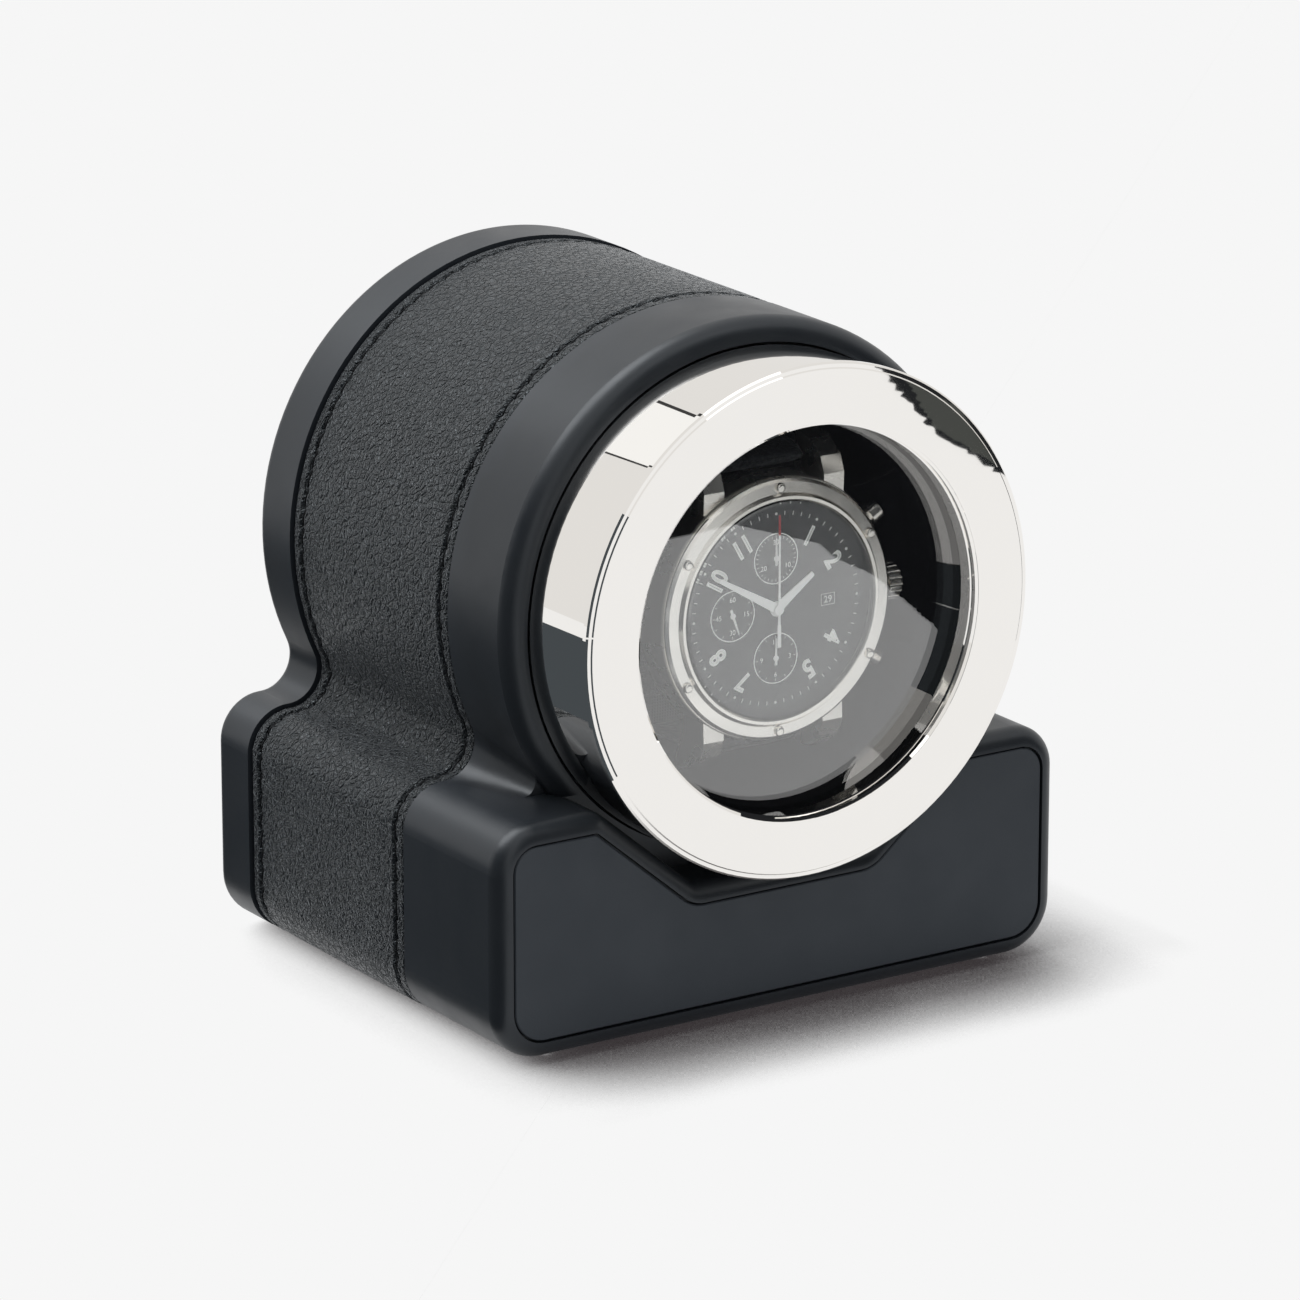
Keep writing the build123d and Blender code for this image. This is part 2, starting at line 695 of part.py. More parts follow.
# ---- cushion that holds the watch ---------------------------------------------------------------
def side_section(grow):
    """The cushion seen from the side, as (y, z), grown outwards for the strap."""
    height = 2 * (cushion_half_height + grow)
    depth = cushion_rear_y - cushion_front_y + 2 * grow
    section = RectangleRounded(depth, height, 9.0 + grow)
    return Pos(cushion_middle_y, axis_z) * section


def across(section, x0, x1):
    """A section drawn in Y and Z, given its width along X."""
    return Pos(x0, 0, 0) * extrude(Plane.YZ * section, amount=x1 - x0)


def pad_core_section():
    return Pos(cushion_middle_y, axis_z) * RectangleRounded(13, 17, 2)


def cushion():
    body = across(side_section(0), -cushion_half_width, cushion_half_width)
    body = fillet(body.faces().filter_by(Axis.X).edges(), 4.0)
    hole = Pos(cushion_middle_y, axis_z) * RectangleRounded(13.4, 17.4, 2.2)
    return body - across(hole, -30, 30)


def cushion_core():
    body = across(pad_core_section(), -24, 24)
    bore = across(Pos(cushion_middle_y, axis_z) * Circle(4.5), -30, 30)
    return body - (bore - across(Pos(cushion_middle_y, axis_z) * Circle(6), -6, 6))


def side_pad(side):
    """A sprung pad that grips the wall of the cup, with the plunger that guides it."""
    axis = Pos(cushion_middle_y, axis_z)
    plunger = across(axis * Circle(4.4), 14, 32) - across(axis * Circle(3.0), 13, 26.6)
    arc = prism(Pos(0, axis_z) * (Circle(pad_radius) - Circle(pad_radius - 4.0)),
                cushion_middle_y - 8, cushion_middle_y + 8)
    pad = arc & block(20, 50, -60, 60, axis_z - 13, axis_z + 13)
    web = across(axis * Circle(4.4), 30, 40) & rod(pad_radius - 0.5, -60, 60)
    body = plunger + web + pad
    return body if side > 0 else mirror(body, Plane.YZ)


def cushion_springs():
    spring = coil(2.5, 0.3, 7, 16.5)
    right = Pos(6.6, cushion_middle_y, axis_z) * Rot(0, 90, 0) * spring
    return Compound([right, mirror(right, Plane.YZ)])


# ---- wristwatch ---------------------------------------------------------------------------------
def watch_case():
    bore = dial_radius + 0.1
    body = turned(
        (bore, bezel_y + 1.6), (case_radius - 0.2, bezel_y + 1.6), (case_radius, bezel_y + 1.9),
        (case_radius, case_rear_y - 3.2), (20.6, case_rear_y - 1.4), (bore, case_rear_y - 1.4),
    )
    lug_rear_y = case_rear_y - 3.0
    lug = [
        (bezel_y + 2.4, 15.0), (bezel_y + 2.2, 20.9), (bezel_y + 3.3, 23.7), (bezel_y + 6.4, 26.0),
        (case_rear_y - 0.6, 26.9), (case_rear_y - 1.2, 24.6), (lug_rear_y, 20.5), (lug_rear_y, 15.0),
    ]
    for flip in (-1, 1):
        side = make_face(Polyline(*[(y, axis_z + flip * z) for y, z in lug], close=True))
        for x0 in (-13.6, 9.7):
            body += across(side, x0, x0 + 3.9) - rod(19.0, -60, 20)
    body -= across(Pos(crown_y, axis_z) * Circle(1.05), 10, 30)
    for flip in (-1, 1):
        body -= Pos(0, crown_y, axis_z) * Rot(0, -flip * pusher_angle, 0) * Rot(0, 90, 0) * extrude(
            Circle(0.95), amount=30)
    return body


def case_back():
    rim = dial_radius - 0.05
    return turned(
        (0, case_rear_y - 1.2), (rim, case_rear_y - 1.2), (rim, case_rear_y - 0.7), (16.5, case_rear_y),
        (0, case_rear_y),
    )


def watch_bezel():
    """A bright raised rim round the crystal, and a flat step outside it for the screws."""
    inner = crystal_radius + 0.05
    step = bezel_y + 0.6
    body = turned(
        (inner, bezel_y + 0.3), (inner + 0.3, bezel_y), (inner + 0.8, bezel_y), (inner + 1.3, step),
        (case_radius - 0.8, step + 0.1), (case_radius - 0.3, step + 0.5),
        (case_radius - 0.3, bezel_y + 1.55), (inner, bezel_y + 1.55),
    )
    for x, z in bezel_screw_places():
        body -= rod(0.62, -60, step + 0.6, x, z)
    return body


def bezel_screw_places():
    return [around(case_radius - 1.6, angle) for angle in range(30, 390, 60)]


def bezel_screws():
    """Six screws with domed heads."""
    seat = bezel_y + 0.6
    screws = []
    for x, z in bezel_screw_places():
        head = fillet(rod(0.85, seat - 0.6, seat, x, z).faces().sort_by(Axis.Y)[0].edges(), 0.45)
        screws.append(head + rod(0.6, seat - 0.1, seat + 0.45, x, z))
    return Compound(screws)


def watch_crystal():
    body = rod(crystal_radius, crystal_y, crystal_y + 0.8)
    return chamfer(body.faces().sort_by(Axis.Y)[0].edges(), 0.3)


def subdial_places():
    """The three small dials: left, top and bottom of the dial."""
    return {"seconds": around(subdial_radius, 180), "minutes": around(subdial_radius, 90),
            "hours": around(subdial_radius, 270)}


def watch_dial():
    body = rod(dial_radius, dial_y, dial_y + 0.7)
    for x, z in subdial_places().values():
        body -= rod(4.2, dial_y - 1, dial_y + 0.12, x, z)
        body -= rod(0.35, dial_y - 1, dial_y + 1, x, z)
    return body - rod(0.9, dial_y - 1, dial_y + 1)


def hand(length, tail, root_width, tip_width, y, thick, hub, hole, angle, x=0.0, z=axis_z):
    """A flat hand that points along +Z, turned clockwise by an angle as seen from the front."""
    root = root_width / 2
    tip = tip_width / 2
    outline = Polyline((-root, -tail), (root, -tail), (tip, length), (-tip, length), close=True)
    shape = make_face(outline) + Circle(hub)
    if hole:
        shape -= Circle(hole)
    return prism(Pos(x, z) * Rot(0, 0, -angle) * shape, y, y + thick)


def hour_hand():
    return hand(8.6, 0.5, 1.9, 0.9, dial_y - 0.45, 0.2, 1.3, 0.72, 55) \
        + tube(0.85, 0.72, dial_y - 0.3, dial_y + 0.5)


def minute_hand():
    return hand(13.2, 0.5, 1.7, 0.7, dial_y - 0.8, 0.2, 1.1, 0.42, 300) \
        + tube(0.67, 0.42, dial_y - 0.7, dial_y + 0.6)


def sweep_hand():
    pointer = hand(15.9, 3.0, 0.45, 0.2, dial_y - 1.1, 0.15, 0.9, 0, 0)
    tail = block(-0.32, 0.32, dial_y - 1.1, dial_y - 0.95, axis_z - 6.4, axis_z - 2.6)
    return pointer + tail + rod(0.37, dial_y - 1.0, dial_y + 0.7)


def small_hand(place, angle):
    x, z = subdial_places()[place]
    return hand(3.4, 1.2, 0.5, 0.2, dial_y - 0.2, 0.12, 0.5, 0, angle, x, z) \
        + rod(0.3, dial_y - 0.15, dial_y + 0.6, x, z)


def watch_crown():
    """A fluted knob with a rounded end, on a plain stem."""
    radius = 3.1
    flutes = 18
    knob = across(Circle(radius), case_radius + 0.9, case_radius + 3.7)
    knob = fillet(knob.faces().sort_by(Axis.X)[-1].edges(), 0.8)
    for flute in range(flutes):
        angle = 2 * pi * flute / flutes
        place = Pos((radius + 0.15) * cos(angle), (radius + 0.15) * sin(angle))
        knob -= across(place * Circle(0.36), case_radius, case_radius + 6)
    stem = across(Circle(1.0), case_radius - 3, case_radius + 1)
    return Pos(0, crown_y, axis_z) * (knob + stem)


def pusher(flip):
    cap = across(Circle(1.9), case_radius + 1.3, case_radius + 3.6)
    cap = fillet(cap.faces().sort_by(Axis.X)[-1].edges(), 0.4)
    collar = across(Circle(1.25), case_radius + 0.95, case_radius + 1.4)
    stem = across(Circle(0.9), case_radius - 3, case_radius + 1.1)
    return Pos(0, crown_y, axis_z) * Rot(0, -flip * pusher_angle, 0) * (cap + collar + stem)


def watch_strap():
    """Two leather lengths that leave the lugs and meet behind the cushion."""
    ring = side_section(0.3 + strap_thick) - side_section(0.3)
    body = across(ring, -strap_half_width, strap_half_width)
    body -= rod(case_radius + 0.3, -60, case_rear_y + 4.2)
    ends = make_face(Polyline(
        (case_rear_y + 5, axis_z + 24.3), (case_rear_y + 5, axis_z + 24.3 + strap_thick),
        (case_rear_y - 2.0, axis_z + 24.6), (case_rear_y - 4.4, axis_z + 22.4),
        (case_rear_y - 1.5, axis_z + 22.0), close=True))
    top = across(ends, -strap_half_width, strap_half_width) - rod(case_radius + 0.25, -60, 20)
    middle = Plane(origin=(0, 0, axis_z), z_dir=(0, 0, 1))
    return body + top + mirror(top, middle)


def strap_buckle():
    y = cushion_rear_y + 0.3 + strap_thick + 0.2
    frame = block(-11.5, 11.5, y, y + 1.4, axis_z - 5, axis_z + 5)
    frame -= block(-9.8, 9.8, y - 1, y + 2, axis_z - 3.4, axis_z + 3.4)
    return frame + block(-0.8, 0.8, y, y + 1.2, axis_z - 4, axis_z + 4)


# ---- all nodes ----------------------------------------------------------------------------------
def nodes():
    """Every node's name and its solids."""
    return {
        "front_shell": front_shell(),
        "front_panel": front_panel(),
        "rear_shell": rear_shell(),
        "leather_band": leather_band(),
        "core_frame": core_frame(),
        "base_plate": base_plate(),
        "rubber_feet": rubber_feet(),
        "housing_screws": housing_screws(),
        "small_screws": small_screws(),
        "battery_door": battery_door(),
        "battery_tray": battery_tray(),
        "batteries": batteries(),
        "battery_contacts": battery_contacts(),
        "chrome_barrel": chrome_barrel(),
        "barrel_gasket": barrel_gasket(),
        "bezel_ring": bezel_ring(),
        "lens": lens(),
        "lens_gasket": lens_gasket(),
        "lens_retainer": lens_retainer(),
        "lid_seal": lid_seal(),
        "rotor_cup": rotor_cup(),
        "hub_screw": hub_screw(),
        "rotor_shaft": rotor_shaft(),
        "shaft_clip": shaft_clip(),
        "shaft_bearings": shaft_bearings(),
        "rotor_gear": rotor_gear(),
        "motor_pinion": motor_pinion(),
        "motor_plate": motor_plate(),
        "gearbox": gearbox(),
        "motor": motor(),
        "circuit_board": circuit_board(),
        "board_parts": board_parts(),
        "power_jack": power_jack(),
        "switch_body": switch_body(),
        "mode_switch": mode_switch(),
        "programme_button": programme_button(),
        "status_light": status_light(),
        "cushion": cushion(),
        "cushion_core": cushion_core(),
        "cushion_springs": cushion_springs(),
        "side_pad_left": side_pad(-1),
        "side_pad_right": side_pad(1),
        "watch_case": watch_case(),
        "case_back": case_back(),
        "watch_bezel": watch_bezel(),
        "bezel_screws": bezel_screws(),
        "watch_crystal": watch_crystal(),
        "watch_dial": watch_dial(),
        "hour_hand": hour_hand(),
        "minute_hand": minute_hand(),
        "sweep_hand": sweep_hand(),
        "seconds_small_hand": small_hand("seconds", 160),
        "minutes_small_hand": small_hand("minutes", 0),
        "hours_small_hand": small_hand("hours", 0),
        "watch_crown": watch_crown(),
        "pusher_upper": pusher(1),
        "pusher_lower": pusher(-1),
        "watch_strap": watch_strap(),
        "strap_buckle": strap_buckle(),
    }


if __name__ == "__main__":
    os.makedirs("parts", exist_ok=True)
    for name, solid in nodes().items():
        export_step(solid, f"parts/{name}.step")
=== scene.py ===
import random
from math import asin, cos, degrees, hypot, pi, radians, sin, sqrt

import bmesh
import bpy
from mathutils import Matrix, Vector, noise


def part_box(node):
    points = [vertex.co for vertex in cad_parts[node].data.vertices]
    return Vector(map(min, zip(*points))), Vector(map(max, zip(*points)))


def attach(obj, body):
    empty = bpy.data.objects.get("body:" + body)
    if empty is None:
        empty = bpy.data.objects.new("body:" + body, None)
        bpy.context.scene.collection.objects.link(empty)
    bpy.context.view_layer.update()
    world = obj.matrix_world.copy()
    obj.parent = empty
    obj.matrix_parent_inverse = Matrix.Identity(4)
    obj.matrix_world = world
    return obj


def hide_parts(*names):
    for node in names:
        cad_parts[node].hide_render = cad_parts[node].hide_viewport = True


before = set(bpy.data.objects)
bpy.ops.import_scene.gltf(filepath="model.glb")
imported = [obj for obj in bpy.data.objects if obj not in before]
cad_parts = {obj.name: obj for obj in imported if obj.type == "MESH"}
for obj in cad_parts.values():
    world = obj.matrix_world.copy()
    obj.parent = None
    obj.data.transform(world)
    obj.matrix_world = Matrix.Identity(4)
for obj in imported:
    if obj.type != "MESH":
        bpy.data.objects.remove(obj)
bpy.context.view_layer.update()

MM = 0.001
scene = bpy.context.scene

# ---- sizes taken from the frame, in metres ------------------------------------------------------
band_low, band_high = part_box("leather_band")
BAND_FRONT = band_low.y
BAND_REAR = band_high.y
DRUM_RADIUS = 46.0 * MM
AXIS_Z = band_high.z - DRUM_RADIUS
FOOT_HALF = band_high.x
FOOT_BOTTOM = band_low.z
SHELF_Z = 40.2 * MM
SHOULDER_RADIUS = 7.0 * MM
BOTTOM_RADIUS = 9.0 * MM
NECK_RADIUS = 6.4 * MM
PLATE_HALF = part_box("base_plate")[1].x + 1.0 * MM
DIAL_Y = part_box("watch_dial")[0].y
CASE_REAR_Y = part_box("case_back")[1].y
SUBDIAL_DISTANCE = 8.4 * MM
SUBDIAL_RADIUS = 4.2 * MM
CUSHION_LOW, CUSHION_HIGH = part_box("cushion")
STRAP_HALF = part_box("watch_strap")[1].x
STRAP_THICK = 2.4 * MM
LENS_DOME = 200.0 * MM          # radius of the sphere that the lens is cut from
LENS_CENTRE = (0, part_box("lens")[0].y + LENS_DOME, AXIS_Z)


# ---- node material helpers ----------------------------------------------------------------------
def new_material(name):
    """A material with an empty Principled shader; returns it with its node tree and shader."""
    mat = bpy.data.materials.new(name)
    mat.use_nodes = True
    tree = mat.node_tree
    return mat, tree, tree.nodes["Principled BSDF"]


def node(tree, kind, **values):
    """Adds a node, setting attributes by name and input sockets by their label with underscores."""
    made = tree.nodes.new(kind)
    for key, value in values.items():
        label = key.replace("_", " ").title()
        if label in made.inputs:
            made.inputs[label].default_value = value
        else:
            setattr(made, key, value)
    return made


def coordinates(tree, stretch=(1, 1, 1)):
    """Object coordinates, stretched."""
    source = node(tree, "ShaderNodeTexCoord")
    mapping = node(tree, "ShaderNodeMapping")
    mapping.inputs["Scale"].default_value = stretch
    tree.links.new(source.outputs["Object"], mapping.inputs["Vector"])
    return mapping.outputs["Vector"]


def noise_at(tree, where, scale, detail=2.0, roughness=0.5):
    """Soft noise between 0 and 1."""
    tex = node(tree, "ShaderNodeTexNoise", scale=scale, detail=detail, roughness=roughness)
    tree.links.new(where, tex.inputs["Vector"])
    return tex.outputs["Fac"]


def ramp(tree, value, low, high, start, end):
    """Maps value from low..high to start..end."""
    made = node(tree, "ShaderNodeMapRange")
    for label, number in (("From Min", low), ("From Max", high), ("To Min", start), ("To Max", end)):
        made.inputs[label].default_value = number
    tree.links.new(value, made.inputs["Value"])
    return made.outputs["Result"]


def blend_colours(tree, factor, first, second):
    """Goes from first to second as factor rises; each is a colour or another node's output."""
    mix = tree.nodes.new("ShaderNodeMix")
    mix.data_type = "RGBA"
    for label, colour in (("A", first), ("B", second)):
        if isinstance(colour, tuple):
            mix.inputs[label].default_value = (*colour, 1)
        else:
            tree.links.new(colour, mix.inputs[label])
    tree.links.new(factor, mix.inputs["Factor"])
    return mix.outputs["Result"]


def bump(tree, shader, height, distance, strength=1.0, under=None):
    """Raises the surface by height times distance; under is a bump that this one goes over."""
    made = node(tree, "ShaderNodeBump", strength=strength, distance=distance)
    tree.links.new(height, made.inputs["Height"])
    if under is not None:
        tree.links.new(under.outputs["Normal"], made.inputs["Normal"])
    tree.links.new(made.outputs["Normal"], shader.inputs["Normal"])
    return made


def scaled(colour, factor):
    """The colour, made brighter or darker."""
    return tuple(c * factor for c in colour)


# ---- materials ----------------------------------------------------------------------------------
def moulded(name, colour, roughness, grain_mm=0.16, grain_depth_mm=0.012, mottle=0.12, **sockets):
    """Moulded plastic or rubber: a fine spark-eroded grain, faint mottling and a painted highlight along
    sharp edges.
    """
    mat, tree, shader = new_material(name)
    where = coordinates(tree)
    cloud = noise_at(tree, where, 60, 3)
    # Painted highlight: sharp convex edges are made half again as light in colour.
    edge_sharpness = node(tree, "ShaderNodeNewGeometry").outputs["Pointiness"]
    edge = ramp(tree, edge_sharpness, 0.50, 0.60, 0.0, 1.0)
    base = blend_colours(tree, cloud, scaled(colour, 1 - mottle), scaled(colour, 1 + mottle))
    painted_edge_highlight = blend_colours(tree, edge, base, scaled(colour, 1.5))
    tree.links.new(painted_edge_highlight, shader.inputs["Base Color"])
    rough = ramp(tree, noise_at(tree, where, 110, 4), 0.3, 0.7, roughness - 0.05, roughness + 0.05)
    tree.links.new(rough, shader.inputs["Roughness"])
    grain = noise_at(tree, where, 1 / (grain_mm * MM), 2)
    bump(tree, shader, grain, grain_depth_mm * MM)
    shader.inputs["Specular Tint"].default_value = (0.90, 0.95, 1.0, 1)
    for label, value in sockets.items():
        shader.inputs[label.replace("_", " ")].default_value = value
    return mat


def leather(name, colour, cell_mm, depth_mm, roughness):
    """Pebbled leather: rounded cells with painted shade in the creases between them, a finer grain on the
    cells, and a waxy sheen.
    """
    mat, tree, shader = new_material(name)
    where = coordinates(tree)
    cell = cell_mm * MM
    depth = depth_mm * MM
    drift = node(tree, "ShaderNodeTexNoise", scale=0.35 / cell, detail=2.0)
    tree.links.new(where, drift.inputs["Vector"])
    shift = node(tree, "ShaderNodeVectorMath", operation="SCALE")
    shift.inputs["Scale"].default_value = 0.9 * cell
    tree.links.new(drift.outputs["Color"], shift.inputs["Vector"])
    warped = node(tree, "ShaderNodeVectorMath", operation="ADD")
    tree.links.new(where, warped.inputs[0])
    tree.links.new(shift.outputs["Vector"], warped.inputs[1])
    creases = []
    for size, deepest in ((1.0, 0.16), (0.42, 0.22)):
        cells = node(tree, "ShaderNodeTexVoronoi", feature="DISTANCE_TO_EDGE", scale=1 / (size * cell))
        tree.links.new(warped.outputs["Vector"], cells.inputs["Vector"])
        rounded = node(tree, "ShaderNodeMapRange", interpolation_type="SMOOTHSTEP")
        rounded.inputs["From Max"].default_value = deepest
        tree.links.new(cells.outputs["Distance"], rounded.inputs["Value"])
        creases.append(rounded.outputs["Result"])
    cloud = noise_at(tree, where, 45, 3)
    base = blend_colours(tree, cloud, scaled(colour, 0.8), scaled(colour, 1.25))
    # Painted shade: the creases are darkened to 0.12 of the leather's colour.
    painted_crease_shade = blend_colours(tree, creases[0], scaled(colour, 0.12), base)
    tree.links.new(painted_crease_shade, shader.inputs["Base Color"])
    rough = ramp(tree, creases[0], 0, 1, roughness + 0.3, roughness)
    tree.links.new(rough, shader.inputs["Roughness"])
    shader.inputs["Specular IOR Level"].default_value = 0.48
    shader.inputs["Specular Tint"].default_value = (0.82, 0.93, 1.0, 1)
    shader.inputs["Sheen Weight"].default_value = 0.26
    shader.inputs["Sheen Roughness"].default_value = 0.32
    shader.inputs["Sheen Tint"].default_value = (0.88, 0.94, 1.0, 1)
    large = bump(tree, shader, creases[0], depth)
    small = bump(tree, shader, creases[1], 0.35 * depth, 0.8, large)
    bump(tree, shader, noise_at(tree, where, 5200, 2), 0.012 * MM, 0.6, small)
    return mat


def polished(name, colour, roughness, scratches=0.02, brushed=None):
    """Polished or brushed metal: hairline scratches, faint smears and, if brushed, a drawn grain."""
    mat, tree, shader = new_material(name)
    where = coordinates(tree)
    shader.inputs["Metallic"].default_value = 1.0
    cloud = noise_at(tree, where, 70, 3)
    base = blend_colours(tree, cloud, scaled(colour, 0.985), colour)
    tree.links.new(base, shader.inputs["Base Color"])
    rough = ramp(tree, noise_at(tree, where, 160, 5), 0.35, 0.75, roughness, roughness + scratches)
    tree.links.new(rough, shader.inputs["Roughness"])
    if brushed:
        drawn = coordinates(tree, brushed)
        bump(tree, shader, noise_at(tree, drawn, 4000, 3), 0.004 * MM, 0.7)
    return mat


def clear(name, tint, roughness=0.0, coat_ior=1.0):
    """Clear glass that lets light through; a coating, where there is one, mirrors more than glass does."""
    mat, tree, shader = new_material(name)
    shader.inputs["Base Color"].default_value = (*tint, 1)
    shader.inputs["Transmission Weight"].default_value = 1.0
    shader.inputs["IOR"].default_value = 1.5
    shader.inputs["Coat Weight"].default_value = 1.0 if coat_ior > 1 else 0.0
    shader.inputs["Coat IOR"].default_value = max(coat_ior, 1.0)
    shader.inputs["Coat Roughness"].default_value = 0.0
    where = coordinates(tree)
    smear = ramp(tree, noise_at(tree, where, 90, 4), 0.45, 0.8, roughness, roughness + 0.012)
    tree.links.new(smear, shader.inputs["Roughness"])
    through = node(tree, "ShaderNodeBsdfTransparent")
    through.inputs["Color"].default_value = (*tint, 1)
    either = node(tree, "ShaderNodeMixShader")
    rays = node(tree, "ShaderNodeLightPath")
    tree.links.new(rays.outputs["Is Shadow Ray"], either.inputs["Fac"])
    tree.links.new(shader.outputs["BSDF"], either.inputs[1])
    tree.links.new(through.outputs["BSDF"], either.inputs[2])
    tree.links.new(either.outputs["Shader"], tree.nodes["Material Output"].inputs["Surface"])
    return mat


def rounded_like_sphere(mat, centre):
    """Lets a thin dome mirror evenly: its normals point straight to or from the sphere's centre."""
    tree = mat.node_tree
    shader = tree.nodes["Principled BSDF"]
    place = node(tree, "ShaderNodeTexCoord")
    away = node(tree, "ShaderNodeVectorMath", operation="SUBTRACT")
    away.inputs[1].default_value = centre
    tree.links.new(place.outputs["Object"], away.inputs[0])
    turned = node(tree, "ShaderNodeVectorTransform", vector_type="NORMAL", convert_from="OBJECT",
                  convert_to="WORLD")
    tree.links.new(away.outputs["Vector"], turned.inputs["Vector"])
    unit = node(tree, "ShaderNodeVectorMath", operation="NORMALIZE")
    tree.links.new(turned.outputs["Vector"], unit.inputs[0])
    surface = node(tree, "ShaderNodeNewGeometry")
    facing = node(tree, "ShaderNodeVectorMath", operation="DOT_PRODUCT")
    tree.links.new(unit.outputs["Vector"], facing.inputs[0])
    tree.links.new(surface.outputs["True Normal"], facing.inputs[1])
    side = node(tree, "ShaderNodeMath", operation="SIGN")
    tree.links.new(facing.outputs["Value"], side.inputs[0])
    normal = node(tree, "ShaderNodeVectorMath", operation="SCALE")
    tree.links.new(unit.outputs["Vector"], normal.inputs[0])
    tree.links.new(side.outputs["Value"], normal.inputs["Scale"])
    tree.links.new(normal.outputs["Vector"], shader.inputs["Normal"])
    tree.links.new(normal.outputs["Vector"], shader.inputs["Coat Normal"])
    return mat


def woven(name, colour):
    """A close plain weave with a soft nap."""
    mat, tree, shader = new_material(name)
    where = coordinates(tree)
    heights = []
    for axis in ("X", "Z"):
        wave = node(tree, "ShaderNodeTexWave", bands_direction=axis, scale=620.0, distortion=0.6, detail=2.0)
        tree.links.new(where, wave.inputs["Vector"])
        heights.append(wave.outputs["Fac"])
    cross = node(tree, "ShaderNodeMath", operation="MAXIMUM")
    tree.links.new(heights[0], cross.inputs[0])
    tree.links.new(heights[1], cross.inputs[1])
    base = blend_colours(tree, cross.outputs["Value"], scaled(colour, 0.55), scaled(colour, 1.2))
    tree.links.new(base, shader.inputs["Base Color"])
    shader.inputs["Roughness"].default_value = 0.85
    shader.inputs["Sheen Weight"].default_value = 0.35
    bump(tree, shader, cross.outputs["Value"], 0.09 * MM, 0.8)
    return mat


def sunburst(name, colour):
    """A dial brushed from its centre outwards, with a fine metallic grain."""
    mat, tree, shader = new_material(name)
    source = node(tree, "ShaderNodeTexCoord")
    centred = node(tree, "ShaderNodeMapping")
    centred.inputs["Location"].default_value = (0, AXIS_Z, 0)
    centred.inputs["Rotation"].default_value = (radians(90), 0, 0)
    tree.links.new(source.outputs["Object"], centred.inputs["Vector"])
    rays = node(tree, "ShaderNodeTexGradient", gradient_type="RADIAL")
    tree.links.new(centred.outputs["Vector"], rays.inputs["Vector"])
    spun = node(tree, "ShaderNodeTexNoise", scale=420.0, detail=2.0, noise_dimensions="1D")
    tree.links.new(rays.outputs["Fac"], spun.inputs["W"])
    base = blend_colours(tree, spun.outputs["Fac"], scaled(colour, 0.8), scaled(colour, 1.25))
    tree.links.new(base, shader.inputs["Base Color"])
    shader.inputs["Metallic"].default_value = 0.35
    shader.inputs["Roughness"].default_value = 0.38
    bump(tree, shader, spun.outputs["Fac"], 0.004 * MM, 0.5)
    return mat


CHARCOAL = (0.0115, 0.0140, 0.0175)
NAVY_BLACK = (0.0045, 0.0055, 0.0080)

MATERIALS = {
    "soft_touch": moulded("soft_touch", CHARCOAL, 0.38, 0.20, 0.008),
    "soft_panel": moulded("soft_panel", scaled(CHARCOAL, 1.65), 0.50, 0.22, 0.020),
    "black_moulding": moulded("black_moulding", (0.018, 0.018, 0.019), 0.5),
    "gloss_black": moulded("gloss_black", (0.0035, 0.0038, 0.0050), 0.12, 0.5, 0.001, 0.1,
                           Specular_IOR_Level=0.2),
    "rubber": moulded("rubber", (0.016, 0.016, 0.016), 0.75, 0.12, 0.02),
    "leather": leather("leather", scaled(NAVY_BLACK, 0.6), 1.35, 0.30, 0.24),
    "strap_leather": leather("strap_leather", (0.010, 0.010, 0.012), 0.8, 0.06, 0.28),
    "thread": moulded("thread", (0.0020, 0.0022, 0.0030), 0.7, 0.10, 0.03, Specular_IOR_Level=0.15),
    "chrome": polished("chrome", (0.93, 0.91, 0.88), 0.012, 0.008),
    "steel": polished("steel", (0.92, 0.89, 0.84), 0.26, 0.06, (1, 1, 0.06)),
    "bright_steel": polished("bright_steel", (0.96, 0.93, 0.88), 0.18, 0.04),
    "dark_steel": polished("dark_steel", (0.16, 0.16, 0.165), 0.3, 0.1),
    "brass": polished("brass", (0.72, 0.55, 0.27), 0.2, 0.1),
    "bronze": polished("bronze", (0.50, 0.33, 0.18), 0.4, 0.1),
    "lens_glass": rounded_like_sphere(clear("lens_glass", (0.97, 0.98, 0.98), 0.0, 1.78), LENS_CENTRE),
    "crystal_glass": clear("crystal_glass", (0.985, 0.99, 0.99)),
    "light_pipe": clear("light_pipe", (0.80, 0.92, 0.86), 0.15),
    "cushion_cloth": woven("cushion_cloth", (0.010, 0.011, 0.014)),
    "acetal": moulded("acetal", (0.72, 0.71, 0.66), 0.4),
    "circuit_green": moulded("circuit_green", (0.010, 0.10, 0.045), 0.3),
    "component_black": moulded("component_black", (0.014, 0.014, 0.014), 0.45),
    "cell_jacket": moulded("cell_jacket", (0.06, 0.065, 0.07), 0.25, 0.4, 0.002),
    "dial": sunburst("dial", (0.030, 0.031, 0.034)),
    "white_print": moulded("white_print", (0.90, 0.90, 0.87), 0.5, 0.1, 0.003, 0.03),
    "white_hand": moulded("white_hand", (0.82, 0.82, 0.80), 0.3, 0.1, 0.002, 0.02),
    "red_print": moulded("red_print", (0.42, 0.03, 0.03), 0.4, 0.1, 0.002, 0.03),
}

